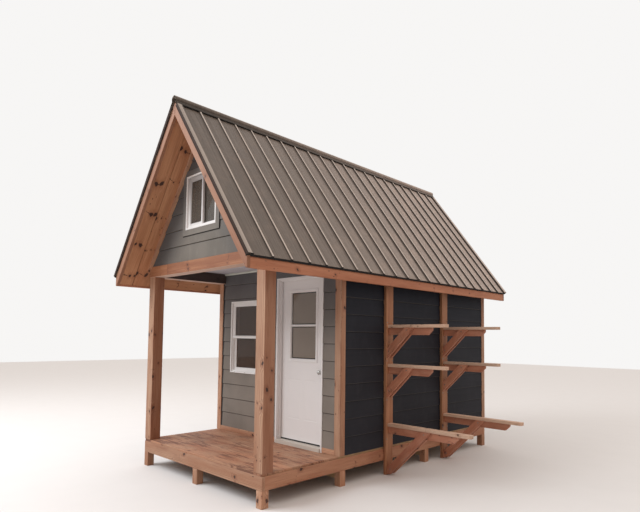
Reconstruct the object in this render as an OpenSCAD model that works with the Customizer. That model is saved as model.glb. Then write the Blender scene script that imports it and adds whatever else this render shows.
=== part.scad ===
// Small gabled boathouse with an open porch, a part-glazed door and two wall
// racks of three arms each for boats. Millimetres, +Z up, the porch faces -Y.

/* [Building] */
// Width over the porch posts and the corner trim
building_w = 2438; // [2300:10:2900]
// Length from the front of the deck to the back of the room
building_l = 4572; // [4300:10:5600]
// Depth of the porch, from the deck front to the trim line of the front wall
porch_depth = 1119; // [1000:10:1300]
// Height of the deck surface above the lowest ground
deck_h = 340; // [300:10:500]

/* [Lumber] */
// Thickness of framing planks
plank_t = 38; // [35:1:45]
// Depth of the floor joists and rim boards
joist_d = 140; // [120:5:150]
// Side of the square porch posts and beams
post_w = 140; // [110:5:150]
// Side of the square stub posts under the floor
stub_w = 89; // [80:1:110]
// Spacing of the floor joists
joist_pitch = 406; // [350:1:500]
// Thickness of the deck boards and the room floor
deck_t = 25; // [20:1:35]
// Width of one deck board before it is fitted to the porch
deck_board_w = 140; // [100:5:150]
// Gap between deck boards
deck_gap = 4; // [3:1:8]
// Setback of the deck board ends behind the rim
deck_end_setback = 13; // [8:1:20]

/* [Walls] */
// Thickness of the framed walls without cladding boards
wall_t = 100; // [90:1:130]
// Thickness of the front gable wall
gable_wall_t = 89; // [80:1:100]
// Room kept in front of each wall for its cladding boards
cladding_gap = 16; // [14:1:20]
// Width of each leg of a corner board
corner_leg = 89; // [70:1:110]
// Thickness of a corner board
corner_t = 19; // [17:1:25]
// Height of the base trim on the front wall
base_trim_h = 62; // [40:1:90]
// Thickness of the porch ceiling
ceiling_t = 19; // [12:1:25]
// Width of the porch ceiling that bears on each side beam
ceiling_bearing = 42; // [30:1:60]

/* [Roof] */
// Pitch of the roof
roof_pitch = 53.4; // [50:0.1:57]
// Overhang of the roof past the side walls, to the face of the eave board
eave_overhang = 190; // [150:5:240]
// Overhang of the roof past the front beam
front_overhang = 379; // [300:5:450]
// Overhang of the roof past the rear wall
rear_overhang = 325; // [250:5:400]
// Height of the roof boarding above the beams at the wall line
heel_h = 104; // [100:1:130]
// Thickness of the roof boarding
boarding_t = 11; // [9:1:15]
// Depth of the rafters
rafter_d = 89; // [85:1:95]
// Depth of the rafter tails past the wall
tail_d = 64; // [55:1:70]
// Greatest spacing of the rafters
rafter_pitch = 610; // [500:10:700]
// Thickness of the soffit boards
soffit_t = 14; // [12:1:16]
// Height of the outer face of the eave boards
fascia_h = 118; // [110:1:140]
// Width of the strip between the gable soffit and the wall
soffit_strip_w = 60; // [40:1:80]
// Thickness of the strip between the gable soffit and the wall
soffit_strip_t = 19; // [12:1:25]
// Thickness of the battens under the metal
batten_t = 19; // [15:1:22]
// Width of the battens
batten_w = 64; // [50:1:90]
// Number of battens on each slope
batten_count = 5; // [4:1:6]
// Distance of the first batten from the ridge, down the slope
batten_start = 110; // [90:5:160]

/* [Metal roofing] */
// Thickness of the roofing sheet
sheet_t = 3; // [2:0.5:4]
// Height of a rib
rib_h = 16; // [12:1:20]
// Width of a rib at its foot
rib_foot_w = 44; // [36:1:56]
// Width of a rib at its top
rib_top_w = 20; // [14:1:26]
// Spacing of the ribs
rib_pitch = 248; // [200:1:300]
// Overhang of the sheet past the eave board, measured level
sheet_overhang = 20; // [10:1:35]
// Width of the top leg of the edge trim
edge_trim_w = 75; // [65:1:95]
// Drop of the edge trim over the rake board
edge_trim_lap = 3; // [2:1:20]
// Stand-off of the edge trim in front of the rake board
edge_trim_out = 15; // [12:1:25]
// Length of each flange of the ridge cap
ridge_flange = 130; // [110:5:150]
// Radius of the roll on the ridge cap
ridge_roll_r = 46; // [40:1:55]
// Depth of the roll's centre below the peak of the cap
ridge_roll_sink = 36; // [15:1:40]

/* [Door] */
// Width over the door frame
door_frame_w = 849; // [840:5:900]
// Height of the door frame above the deck
door_frame_h = 2112; // [2040:2:2300]
// Gap between the door frame and the underside of the porch beams
beam_over_door = 8; // [5:1:60]
// Left edge of the door frame, from the centre of the building
door_left = 85; // [60:5:130]
// Thickness of the door frame
door_frame_t = 25; // [20:1:32]
// Height of the door sill
door_sill_h = 43; // [35:1:60]
// Nose of the door sill in front of the trim line
door_sill_nose = 20; // [10:1:35]
// Depth of the door leaf behind the trim line
door_reveal = 76; // [70:1:80]
// Thickness of the door leaf
door_leaf_t = 44; // [35:1:50]
// Gap around the door leaf
door_gap = 7; // [6:1:9]
// Width of the glazed opening of the door
door_glass_w = 478; // [400:5:520]
// Height of the leaf above its glazed opening
door_top_rail = 146; // [110:2:180]
// Height of the glazed opening of the door
door_glass_h = 870; // [800:5:900]
// Height of the knob above the deck
knob_z = 930; // [860:5:960]
// Distance of the knob from the edge of the leaf
knob_backset = 62; // [55:1:75]
// Radius of the knob
knob_r = 27; // [22:1:32]
// Distance of the knob's centre from the face of the leaf
knob_reach = 42; // [40:1:48]

/* [Windows] */
// Width of the front window over its frame
window_w = 762; // [650:2:780]
// Height of the front window over its frame
window_h = 1012; // [900:2:1100]
// Left edge of the front window, from the centre of the building
window_left = -926; // [-940:2:-900]
// Foot of the front window above the deck
window_z = 838; // [800:2:900]
// Width of the gable window over its frame
gable_window_w = 642; // [560:2:700]
// Height of the gable window over its frame
gable_window_h = 660; // [560:2:700]
// Offset of the gable window to the left of the ridge
gable_window_shift = 20; // [0:5:60]
// Foot of the gable window above the porch beams
gable_window_rise = 378; // [340:2:440]
// Width of the boards around the gable window
gable_trim_w = 70; // [50:1:80]
// Thickness of the boards around the gable window
gable_trim_t = 22; // [20:1:24]
// Face width of a window frame
window_face = 38; // [32:1:45]
// Width of a window sash
sash_w = 34; // [28:1:45]
// Thickness of a window sash
sash_t = 26; // [20:1:30]
// Thickness of the glass
glass_t = 6; // [4:1:8]

/* [Racks] */
// Distance of the front rack from the deck front
front_rack_y = 2000; // [1850:10:2200]
// Distance of the rear rack from the deck front
rear_rack_y = 3310; // [3000:10:3500]
// Gap between the rack posts and the eave soffit
rack_post_gap = 10; // [5:5:60]
// Width of a rack post
rack_post_w = 140; // [135:1:184]
// Depth of the arms
arm_d = 89; // [80:1:100]
// Reach of the upper and middle arms from the building
arm_reach = 665; // [550:5:800]
// Reach of the lower arms from the building
low_arm_reach = 1000; // [850:5:1100]
// Foot of the lower arms above the deck
low_arm_z = 165; // [120:5:200]
// Foot of the middle arms above the deck
mid_arm_z = 903; // [800:5:950]
// Foot of the upper arms above the deck
top_arm_z = 1394; // [1300:5:1450]
// Width of the flat rest on each arm
rest_w = 89; // [80:1:120]
// Reach of the rest past the end of the arm
rest_over = 200; // [120:5:220]
// Reach of the lower rest past the end of its arm
low_rest_over = 170; // [120:5:200]
// Drop of the brace foot under an upper or middle arm
brace_drop = 295; // [250:5:330]
// Drop of the brace foot under a lower arm
low_brace_drop = 540; // [450:5:560]
// Clear height under the level cut at the foot of the lower braces
brace_clear = 15; // [10:5:40]
// Size of the cut corner under the end of an arm
arm_cut = 57; // [30:1:70]

/* [Hidden] */
$fn = 48;

half_w = building_w / 2;
wall_half_w = half_w - cladding_gap;
rim_top = deck_h - deck_t;
rim_foot = rim_top - joist_d;
beam_foot = deck_h + door_frame_h + beam_over_door;
beam_top = beam_foot + post_w;
wall_front = porch_depth + cladding_gap;
wall_rear = building_l - cladding_gap;
gable_face = 24;
window_recess = 18;

// Roof planes: a depth is measured square to the slope, down from the top of the boarding
run_to_rise = tan(roof_pitch);
plumb = 1 / cos(roof_pitch);
apex_z = beam_top + heel_h + half_w * run_to_rise;
eave_x = half_w + eave_overhang;
front_y = -front_overhang;
rear_y = building_l + rear_overhang;
rake_d = boarding_t + tail_d + soffit_t;
fine_gap = 1;
seat_gap = 0.05;
cut_over = 1;
function slope_z(x, depth) = apex_z - abs(x) * run_to_rise - depth * plumb;

sheet_n = batten_t;
rib_n = batten_t + sheet_t + rib_h;
sheet_s = (eave_x + sheet_overhang - sheet_n * sin(roof_pitch)) / cos(roof_pitch);
eave_foot = slope_z(eave_x, 0) - fascia_h;
edge_flat_w = 19;
edge_rib_in = rib_foot_w / 2 + edge_flat_w;
sheet_front = front_y - edge_trim_out + sheet_t + fine_gap;
sheet_rear = rear_y + edge_trim_out - sheet_t - fine_gap;
first_rib = front_y + edge_rib_in;
last_rib = rear_y - edge_rib_in;
rib_ys = concat([for (y = [first_rib:rib_pitch:last_rib - rib_foot_w * 1.5]) y], [last_rib]);

door_right = door_left + door_frame_w;
leaf_left = door_left + door_frame_t + door_gap;
leaf_right = door_right - door_frame_t - door_gap;
leaf_foot = deck_h + door_sill_h + door_gap;
leaf_top = deck_h + door_frame_h - door_frame_t - door_gap;
leaf_front = porch_depth + door_reveal;
leaf_back = leaf_front + door_leaf_t;
leaf_mid_x = (leaf_left + leaf_right) / 2;
door_glass_top = leaf_top - door_top_rail;
door_glass_foot = door_glass_top - door_glass_h;
stop_w = 12;
stop_t = 32;
stop_gap = 5;
frame_proud = 4;
hinge_x = door_left + door_frame_t;
hinge_r = 7;
hinge_play = 1;
hinge_pin_r = 4;
hinge_y = leaf_back + hinge_r + hinge_play;
hinge_h = 90;
hinge_plate_t = 3;
hinge_plate_w = 30;
pin_play = 0.1;
hinge_zs = [for (share = [0.12, 0.5, 0.88]) leaf_foot + (leaf_top - leaf_foot) * share];

knob_rose_over = 5;
knob_rose_t = 5;
knob_neck_r = 12;
knob_neck_h = 24;
knob_flatness = 0.75;

glass_lip = 26;
glass_bead = 16;
lip_t = 8;
meeting_rail_w = 28;

window_foot = deck_h + window_z;
gable_window_x = -gable_window_shift;
gable_window_left = gable_window_x - gable_window_w / 2;
gable_window_right = gable_window_x + gable_window_w / 2;
gable_window_foot = beam_top + gable_window_rise;
gable_window_top = gable_window_foot + gable_window_h;
gable_frame_y = gable_face - gable_trim_t - frame_proud;
gable_sash_y = gable_frame_y + window_recess + frame_proud;

rack_x = half_w + plank_t;
rack_ys = [front_rack_y, rear_rack_y];
rack_post_top = slope_z(rack_x, rake_d) - rack_post_gap;
arm_zs = [low_arm_z, mid_arm_z, top_arm_z];
arm_reaches = [low_arm_reach, arm_reach, arm_reach];
rest_overs = [low_rest_over, rest_over, rest_over];
brace_drops = [low_brace_drop, brace_drop, brace_drop];

// The origin is the middle of the whole footprint, racks and roof included
reach_right = half_w + low_arm_reach + low_rest_over;
reach_left = eave_x + sheet_overhang + (rib_n + sheet_t - sheet_n) * sin(roof_pitch);
origin_x = (reach_left - reach_right) / 2;
origin_y = -(front_y - edge_trim_out + rear_y + edge_trim_out) / 2;

cedar = "peru";
siding_grey = "dimgray";
metal_grey = "darkslategray";

// Evenly spaced places from the first to the last, at most a pitch apart
function spread(first, last, pitch) = [for (i = [0:ceil((last - first) / pitch)])
    first + (last - first) * i / ceil((last - first) / pitch)];

// Puts a piece drawn from the middle of the deck front into the object's frame
module place() {
    translate([origin_x, origin_y, 0]) children();
}

// A box from its low and high corners
module span(low, high) {
    translate(low) cube(high - low);
}

// The same piece on both sides of the middle plane
module both_sides() {
    children();
    mirror([1, 0, 0]) children();
}

// Extrudes an outline drawn in x and z along y
module along_y(y0, y1) {
    translate([0, y1, 0]) rotate([90, 0, 0]) linear_extrude(y1 - y0) children();
}

// Frame of the right slope: x runs down the slope and z stands square to it
module on_slope() {
    translate([0, 0, apex_z]) rotate([0, roof_pitch, 0]) children();
}

// Extrudes an outline drawn in y and height along the slope
module down_slope(s0, s1) {
    on_slope() translate([s0, 0, 0]) rotate([90, 0, 90]) linear_extrude(s1 - s0) children();
}

// One slope's band between two depths, from x0 out to x1
module slope_band(x0, x1, depth0, depth1, y0, y1) {
    along_y(y0, y1) polygon([
        [x0, slope_z(x0, depth0)], [x1, slope_z(x1, depth0)],
        [x1, slope_z(x1, depth1)], [x0, slope_z(x0, depth1)]]);
}

// A flat rectangular ring that stands in the x and z directions
module frame_ring(low, high, face) {
    difference() {
        span(low, high);
        span([low[0] + face, low[1] - cut_over, low[2] + face],
            [high[0] - face, high[1] + cut_over, high[2] - face]);
    }
}

module support_posts() {
    row_ys = [0, wall_front, (wall_front + building_l) / 2, building_l - stub_w];
    color(cedar) place() for (y = row_ys, x = [-half_w, -stub_w / 2, half_w - stub_w])
        span([x, y, 0], [x + stub_w, y + stub_w, rim_foot]);
}

module floor_beams() {
    color("sienna") place() both_sides() for (y = [wall_front, (wall_front + building_l) / 2])
        span([stub_w / 2, y, rim_foot - stub_w], [half_w - stub_w, y + stub_w, rim_foot]);
}

module end_rim_boards() {
    color(cedar) place() for (y = [0, building_l - plank_t])
        span([-half_w, y, rim_foot], [half_w, y + plank_t, rim_top]);
}

module side_rim_boards() {
    color(cedar) place() both_sides()
        span([half_w - plank_t, plank_t, rim_foot], [half_w, building_l - plank_t, rim_top]);
}

module floor_joists() {
    side_count = floor((half_w - 2 * plank_t) / joist_pitch);
    color("burlywood") place() for (i = [-side_count:side_count])
        span([i * joist_pitch - plank_t / 2, plank_t, rim_foot],
            [i * joist_pitch + plank_t / 2, building_l - plank_t, rim_top]);
}

module porch_deck() {
    count = round(porch_depth / (deck_board_w + deck_gap));
    pitch = (porch_depth + deck_gap) / count;
    end_x = half_w - deck_end_setback;
    color("tan") place() for (i = [0:count - 1])
        span([-end_x, i * pitch, rim_top], [end_x, (i + 1) * pitch - deck_gap, deck_h]);
}

module room_floor() {
    color("burlywood") place()
        span([-wall_half_w, porch_depth + deck_gap, rim_top], [wall_half_w, wall_rear, deck_h]);
}

module front_posts() {
    color(cedar) place() both_sides()
        span([half_w - post_w, 0, deck_h], [half_w, post_w, beam_foot]);
}

module front_beam() {
    color(cedar) place() span([-half_w, 0, beam_foot], [half_w, post_w, beam_top]);
}

module side_beams() {
    color("sienna") place() both_sides()
        span([half_w - post_w, post_w, beam_foot], [half_w, wall_front, beam_top]);
}

module porch_ceiling() {
    ceiling_half_w = half_w - post_w + ceiling_bearing;
    color("lightgrey") place()
        span([-ceiling_half_w, gable_face + gable_wall_t, beam_top],
            [ceiling_half_w, wall_front + wall_t, beam_top + ceiling_t]);
}

module front_wall_left() {
    rim = window_face / 2;
    color(siding_grey) place() difference() {
        span([-wall_half_w, wall_front, deck_h], [door_left, wall_front + wall_t, beam_top]);
        span([window_left + rim, wall_front - cut_over, window_foot + rim],
            [window_left + window_w - rim, wall_front + wall_t + cut_over, window_foot + window_h - rim]);
    }
}

module front_wall_header() {
    color(siding_grey) place()
        span([door_left, wall_front, deck_h + door_frame_h], [door_right, wall_front + wall_t, beam_top]);
}

module front_wall_right() {
    color(siding_grey) place()
        span([door_right, wall_front, deck_h], [wall_half_w, wall_front + wall_t, beam_top]);
}

module side_walls() {
    color(siding_grey) place() both_sides()
        span([wall_half_w - wall_t, wall_front + wall_t, deck_h],
            [wall_half_w, wall_rear - wall_t, beam_top]);
}

// A wall that rises into the gable, notched for the ridge board
module gabled_wall(wall_half, foot, y0, y1) {
    top_d = boarding_t + seat_gap;
    difference() {
        along_y(y0, y1) polygon([[-wall_half, foot], [wall_half, foot],
            [wall_half, slope_z(wall_half, top_d)], [0, slope_z(0, top_d)],
            [-wall_half, slope_z(wall_half, top_d)]]);
        span([-plank_t / 2, y0 - cut_over, slope_z(0, boarding_t + tail_d)],
            [plank_t / 2, y1 + cut_over, apex_z]);
    }
}

module rear_wall() {
    color(siding_grey) place() gabled_wall(wall_half_w, deck_h, wall_rear - wall_t, wall_rear);
}

module gable_wall() {
    rim = window_face / 2;
    color(siding_grey) place() difference() {
        gabled_wall(half_w, beam_top, gable_face, gable_face + gable_wall_t);
        span([gable_window_left + rim, gable_face - cut_over, gable_window_foot + rim],
            [gable_window_right - rim, gable_face + gable_wall_t + cut_over, gable_window_top - rim]);
    }
}

// Two boards that meet at a corner, seen from above, with the corner at the origin
module corner_board() {
    linear_extrude(beam_foot - deck_h) difference() {
        translate([-corner_leg, 0]) square([corner_leg, corner_leg]);
        translate([-corner_leg - cut_over, corner_t]) square([corner_leg + cut_over - corner_t, corner_leg]);
    }
}

module corner_boards() {
    proud = corner_t - cladding_gap;
    color(cedar) place() both_sides() {
        translate([half_w + proud, porch_depth - proud, deck_h]) corner_board();
        translate([half_w + proud, building_l + proud, deck_h]) mirror([0, 1, 0]) corner_board();
    }
}

module base_trim() {
    leg_x = half_w + corner_t - cladding_gap - corner_leg;
    color(cedar) place() for (ends = [[-leg_x, door_left], [door_right, leg_x]])
        span([ends[0], porch_depth, deck_h], [ends[1], wall_front, deck_h + base_trim_h]);
}

module front_window_frame() {
    low = [window_left, porch_depth - frame_proud, window_foot];
    high = [window_left + window_w, wall_front + wall_t, window_foot + window_h];
    rim = window_face / 2;
    mid_z = (low[2] + high[2]) / 2;
    sash_y = porch_depth + window_recess;
    color("white") place() {
        // Face flange on the wall and the body of the frame behind it
        frame_ring(low, [high[0], wall_front, high[2]], window_face);
        frame_ring([low[0] + rim, wall_front - cut_over, low[2] + rim],
            [high[0] - rim, high[1], high[2] - rim], rim);
        // Upper sash in front and lower sash behind it, overlapping at the meeting rail
        frame_ring([low[0] + window_face, sash_y, mid_z - sash_w / 2],
            [high[0] - window_face, sash_y + sash_t, high[2] - window_face], sash_w);
        frame_ring([low[0] + window_face, sash_y + sash_t, low[2] + window_face],
            [high[0] - window_face, sash_y + 2 * sash_t, mid_z + sash_w / 2], sash_w);
    }
}

// Boards around the gable window, with the upper corners cut along the soffit
module gable_window_trim() {
    limit = rake_d + soffit_strip_t + fine_gap;
    y0 = gable_face - gable_trim_t;
    color("gray") place() intersection() {
        frame_ring([gable_window_left - gable_trim_w, y0, gable_window_foot - gable_trim_w],
            [gable_window_right + gable_trim_w, gable_face, gable_window_top + gable_trim_w], gable_trim_w);
        along_y(y0, gable_face) polygon([[-half_w, slope_z(half_w, limit)],
            [half_w, slope_z(half_w, limit)], [0, slope_z(0, limit)]]);
    }
}

module gable_window_frame() {
    rim = window_face / 2;
    low_z = gable_window_foot + window_face;
    high_z = gable_window_top - window_face;
    color("white") place() {
        frame_ring([gable_window_left, gable_frame_y, gable_window_foot],
            [gable_window_right, gable_face, gable_window_top], window_face);
        frame_ring([gable_window_left + rim, gable_face - cut_over, gable_window_foot + rim],
            [gable_window_right - rim, gable_face + gable_wall_t, gable_window_top - rim], rim);
        // Sliding sash on the left half, and the fixed half with its thinner edge behind it
        frame_ring([gable_window_left + window_face, gable_sash_y, low_z],
            [gable_window_x + sash_w / 2, gable_sash_y + sash_t, high_z], sash_w);
        frame_ring([gable_window_x - sash_w / 2, gable_sash_y + sash_t, low_z],
            [gable_window_right - window_face, gable_sash_y + 2 * sash_t, high_z], sash_w / 2);
    }
}

module window_glass() {
    inset = window_face + sash_w;
    fixed_inset = window_face + sash_w / 2;
    mid_z = window_foot + window_h / 2;
    y = porch_depth + window_recess + (sash_t - glass_t) / 2;
    gable_y = gable_sash_y + (sash_t - glass_t) / 2;
    color("lightblue", 0.4) place() {
        // Front window, upper and lower panes
        span([window_left + inset, y, mid_z + sash_w / 2],
            [window_left + window_w - inset, y + glass_t, window_foot + window_h - inset]);
        span([window_left + inset, y + sash_t, window_foot + inset],
            [window_left + window_w - inset, y + sash_t + glass_t, mid_z - sash_w / 2]);
        // Gable window, sliding and fixed panes
        span([gable_window_left + inset, gable_y, gable_window_foot + inset],
            [gable_window_x - sash_w / 2, gable_y + glass_t, gable_window_top - inset]);
        span([gable_window_x, gable_y + sash_t, gable_window_foot + fixed_inset],
            [gable_window_right - fixed_inset, gable_y + sash_t + glass_t, gable_window_top - fixed_inset]);
    }
}

// A side of the door frame: the jamb, with its stop in front of the leaf
module door_jamb() {
    stop_y = door_reveal + frame_proud - stop_gap - stop_t;
    cube([door_frame_t, leaf_back - porch_depth + frame_proud, door_frame_h]);
    translate([0, stop_y, door_sill_h]) cube([door_frame_t + stop_w, stop_t, door_frame_h - door_sill_h]);
}

module door_frame() {
    top = deck_h + door_frame_h;
    color("white") place() {
        translate([door_left, porch_depth - frame_proud, deck_h]) door_jamb();
        translate([door_right, porch_depth - frame_proud, deck_h]) mirror([1, 0, 0]) door_jamb();
        span([door_left, porch_depth - frame_proud, top - door_frame_t], [door_right, leaf_back, top]);
        span([door_left, leaf_front - stop_gap - stop_t, top - door_frame_t - stop_w],
            [door_right, leaf_front - stop_gap, top]);
    }
}

module door_sill() {
    color("gainsboro") place()
        span([door_left + door_frame_t, porch_depth - door_sill_nose, deck_h],
            [door_right - door_frame_t, wall_front + wall_t, deck_h + door_sill_h]);
}

// Fixed halves of the hinges: pin, two knuckles and the plates on the jamb's back
module door_hinges() {
    knuckle_h = (hinge_h - hinge_play) / 3;
    color("silver") place() for (z = hinge_zs) translate([hinge_x, hinge_y, z - hinge_h / 2]) {
        cylinder(h = hinge_h, r = hinge_pin_r);
        for (z0 = [0, hinge_h - knuckle_h]) translate([0, 0, z0]) {
            cylinder(h = knuckle_h, r = hinge_r);
            translate([-door_frame_t, leaf_back - hinge_y, 0])
                cube([door_frame_t - 2 * hinge_play, hinge_plate_t, knuckle_h]);
        }
    }
}

// Moving halves of the hinges: the middle knuckle and its plate on the leaf's back
module door_hinge_leaves() {
    knuckle_h = hinge_h / 3 - hinge_play;
    color("silver") place() for (z = hinge_zs) translate([hinge_x, hinge_y, z - knuckle_h / 2])
        difference() {
            union() {
                cylinder(h = knuckle_h, r = hinge_r);
                translate([0, leaf_back - hinge_y, 0])
                    cube([door_gap + hinge_plate_w, hinge_plate_t, knuckle_h]);
            }
            translate([0, 0, -cut_over]) cylinder(h = hinge_h, r = hinge_pin_r + pin_play);
        }
}

module door_leaf() {
    glass_x = leaf_mid_x - door_glass_w / 2;
    color("white") place() difference() {
        span([leaf_left, leaf_front, leaf_foot], [leaf_right, leaf_back, leaf_top]);
        span([glass_x, leaf_front - cut_over, door_glass_foot],
            [glass_x + door_glass_w, leaf_back + cut_over, door_glass_top]);
    }
}

module door_glass_frame() {
    low = [leaf_mid_x - door_glass_w / 2, leaf_front, door_glass_foot];
    high = [low[0] + door_glass_w, leaf_back, door_glass_top];
    mid_z = (low[2] + high[2]) / 2;
    lip = glass_lip;
    bead = glass_bead;
    color("white") place() {
        for (y = [leaf_front - lip_t, leaf_back])
            frame_ring([low[0] - lip, y, low[2] - lip],
                [high[0] + lip, y + lip_t, high[2] + lip], lip + bead);
        frame_ring([low[0], low[1] - cut_over, low[2]], [high[0], high[1] + cut_over, high[2]], bead);
        span([low[0] + bead - cut_over, low[1], mid_z - meeting_rail_w / 2],
            [high[0] - bead + cut_over, high[1], mid_z + meeting_rail_w / 2]);
    }
}

module door_glass() {
    x0 = leaf_mid_x - door_glass_w / 2 + glass_bead;
    x1 = leaf_mid_x + door_glass_w / 2 - glass_bead;
    y0 = (leaf_front + leaf_back - glass_t) / 2;
    mid_z = (door_glass_foot + door_glass_top) / 2;
    color("lightblue", 0.4) place() {
        span([x0, y0, door_glass_foot + glass_bead], [x1, y0 + glass_t, mid_z - meeting_rail_w / 2]);
        span([x0, y0, mid_z + meeting_rail_w / 2], [x1, y0 + glass_t, door_glass_top - glass_bead]);
    }
}

// A round knob on its rose, turned about an axis square to the door
module door_knob() {
    rose_r = knob_r + knob_rose_over;
    rotate([90, 0, 0]) rotate_extrude() polygon(concat(
        [[0, 0], [rose_r, 0], [rose_r, knob_rose_t]],
        [[knob_neck_r, 2 * knob_rose_t], [knob_neck_r, knob_neck_h]],
        [for (a = [-50:20:70]) [knob_r * cos(a), knob_reach + knob_r * knob_flatness * sin(a)]],
        [[0, knob_reach + knob_r * knob_flatness]]));
}

module door_knobs() {
    color("silver") place() translate([leaf_right - knob_backset, 0, deck_h + knob_z]) {
        translate([0, leaf_front, 0]) door_knob();
        translate([0, leaf_back, 0]) mirror([0, 1, 0]) door_knob();
    }
}

module ridge_board() {
    color("burlywood") place()
        span([-plank_t / 2, front_y + plank_t, slope_z(0, boarding_t + tail_d)],
            [plank_t / 2, rear_y - plank_t, slope_z(plank_t / 2, boarding_t + seat_gap)]);
}

// A rafter's outline: plumb at the ridge, seated on the wall and thinner past it
module rafter_outline() {
    low_d = boarding_t + rafter_d;
    tail_low_d = boarding_t + tail_d;
    tail_x = eave_x - plank_t;
    seat_x = (slope_z(0, low_d) - beam_top) / run_to_rise;
    polygon([[plank_t / 2, slope_z(plank_t / 2, boarding_t)], [tail_x, slope_z(tail_x, boarding_t)],
        [tail_x, slope_z(tail_x, tail_low_d)], [half_w, slope_z(half_w, tail_low_d)],
        [half_w, beam_top], [seat_x, beam_top], [plank_t / 2, slope_z(plank_t / 2, low_d)]]);
}

module rafters() {
    porch_ys = spread(gable_face + gable_wall_t, wall_front, rafter_pitch);
    room_ys = spread(wall_front, wall_rear - wall_t - plank_t, rafter_pitch);
    color("burlywood") place() both_sides() {
        for (y = porch_ys) along_y(y, y + plank_t) rafter_outline();
        for (i = [1:len(room_ys) - 1]) along_y(room_ys[i], room_ys[i] + plank_t) rafter_outline();
    }
}

module roof_boarding() {
    color("burlywood") place() both_sides()
        slope_band(fine_gap, eave_x - plank_t, 0, boarding_t, front_y + plank_t, rear_y - plank_t);
}

// Eave boards with their top edge bevelled to the slope
module eave_boards() {
    inner_x = eave_x - plank_t;
    color(cedar) place() both_sides() along_y(front_y + plank_t, rear_y - plank_t)
        polygon([[eave_x, eave_foot], [eave_x, slope_z(eave_x, 0)],
            [inner_x, slope_z(inner_x, 0)], [inner_x, eave_foot]]);
}

module eave_soffits() {
    top_d = boarding_t + tail_d + seat_gap;
    color("sienna") place() both_sides()
        slope_band(half_w + fine_gap, eave_x - plank_t, top_d, rake_d, gable_face, wall_rear);
}

// Boards up both edges of the roof, with the lower end cut level with the eave boards
module rake_boards() {
    level_x = (slope_z(0, rake_d) - eave_foot) / run_to_rise;
    color(cedar) place() both_sides() for (y = [front_y, rear_y - plank_t]) along_y(y, y + plank_t)
        polygon([[fine_gap, slope_z(fine_gap, 0)], [eave_x, slope_z(eave_x, 0)], [eave_x, eave_foot],
            [level_x, eave_foot], [fine_gap, slope_z(fine_gap, rake_d)]]);
}

// Boards under a gable overhang, with the strip that closes them against the wall
module gable_soffit(y0, y1, strip_y) {
    slope_band(fine_gap, eave_x - plank_t, boarding_t + tail_d, rake_d, y0, y1);
    slope_band(fine_gap, half_w, rake_d - cut_over, rake_d + soffit_strip_t,
        strip_y, strip_y + soffit_strip_w);
}

module gable_soffits() {
    color(cedar) place() both_sides() {
        difference() {
            gable_soffit(front_y + plank_t, gable_face, gable_face - soffit_strip_w);
            span([0, 0, beam_foot], [half_w, post_w, beam_top]);
        }
        gable_soffit(wall_rear, rear_y - plank_t, wall_rear);
    }
}

module roof_battens() {
    last_s = (eave_x - batten_t * sin(roof_pitch)) / cos(roof_pitch) - batten_w;
    color("burlywood") place() both_sides() on_slope() for (i = [0:batten_count - 1]) {
        s = batten_start + (last_s - batten_start) * i / (batten_count - 1);
        span([s, front_y, seat_gap], [s + batten_w, rear_y, batten_t]);
    }
}

// The ribbed sheet across the slope, drawn in y and height above the boarding
module sheet_profile() {
    under = concat([[sheet_front, sheet_n]],
        [for (y = rib_ys) each [[y - rib_foot_w / 2, sheet_n], [y - rib_top_w / 2, sheet_n + rib_h],
            [y + rib_top_w / 2, sheet_n + rib_h], [y + rib_foot_w / 2, sheet_n]]],
        [[sheet_rear, sheet_n]]);
    over = [for (i = [len(under) - 1:-1:0]) under[i] + [0, sheet_t]];
    polygon(concat(under, over));
}

module metal_roofing() {
    color(metal_grey) place() both_sides() down_slope(0, sheet_s) sheet_profile();
}

// Ridge cap: two flanges on the ribs, joined over the top by a roll
module ridge_cap() {
    flange_x = ridge_flange * cos(roof_pitch);
    flange_end = slope_z(flange_x, -rib_n);
    roll_z = slope_z(0, -rib_n) - ridge_roll_sink;
    far_x = building_w;
    color(metal_grey) place() along_y(front_y - edge_trim_out, rear_y + edge_trim_out) difference() {
        union() {
            translate([0, roll_z]) circle(r = ridge_roll_r);
            polygon([[flange_x, flange_end], [flange_x, flange_end + sheet_t * plumb],
                [0, slope_z(0, -rib_n - sheet_t)], [-flange_x, flange_end + sheet_t * plumb],
                [-flange_x, flange_end]]);
        }
        translate([0, roll_z]) circle(r = ridge_roll_r - sheet_t);
        polygon([[0, slope_z(0, -rib_n)], [far_x, slope_z(far_x, -rib_n)],
            [-far_x, slope_z(far_x, -rib_n)]]);
    }
}

// Angle that caps the sheet's edge over a rake board, drawn in y and height
module edge_trim_profile() {
    top = rib_n + sheet_t;
    polygon([[0, -edge_trim_lap], [sheet_t, -edge_trim_lap], [sheet_t, rib_n],
        [edge_trim_w, rib_n], [edge_trim_w, top], [0, top]]);
}

// Angles over both gable edges, and the strip that closes each eave under the sheet
module roof_edge_trims() {
    drip_x = eave_x + sheet_t;
    color("black") place() both_sides() {
        down_slope(ridge_flange, sheet_s) {
            translate([front_y - edge_trim_out, 0]) edge_trim_profile();
            translate([rear_y + edge_trim_out, 0]) mirror([1, 0]) edge_trim_profile();
        }
        span([eave_x, front_y, slope_z(eave_x, 0) - edge_trim_lap],
            [drip_x, rear_y, slope_z(drip_x, -batten_t)]);
    }
}

module rack_posts() {
    color(cedar) place() for (y = rack_ys)
        span([half_w, y - rack_post_w / 2, 0], [rack_x, y + rack_post_w / 2, rack_post_top]);
}

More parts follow.
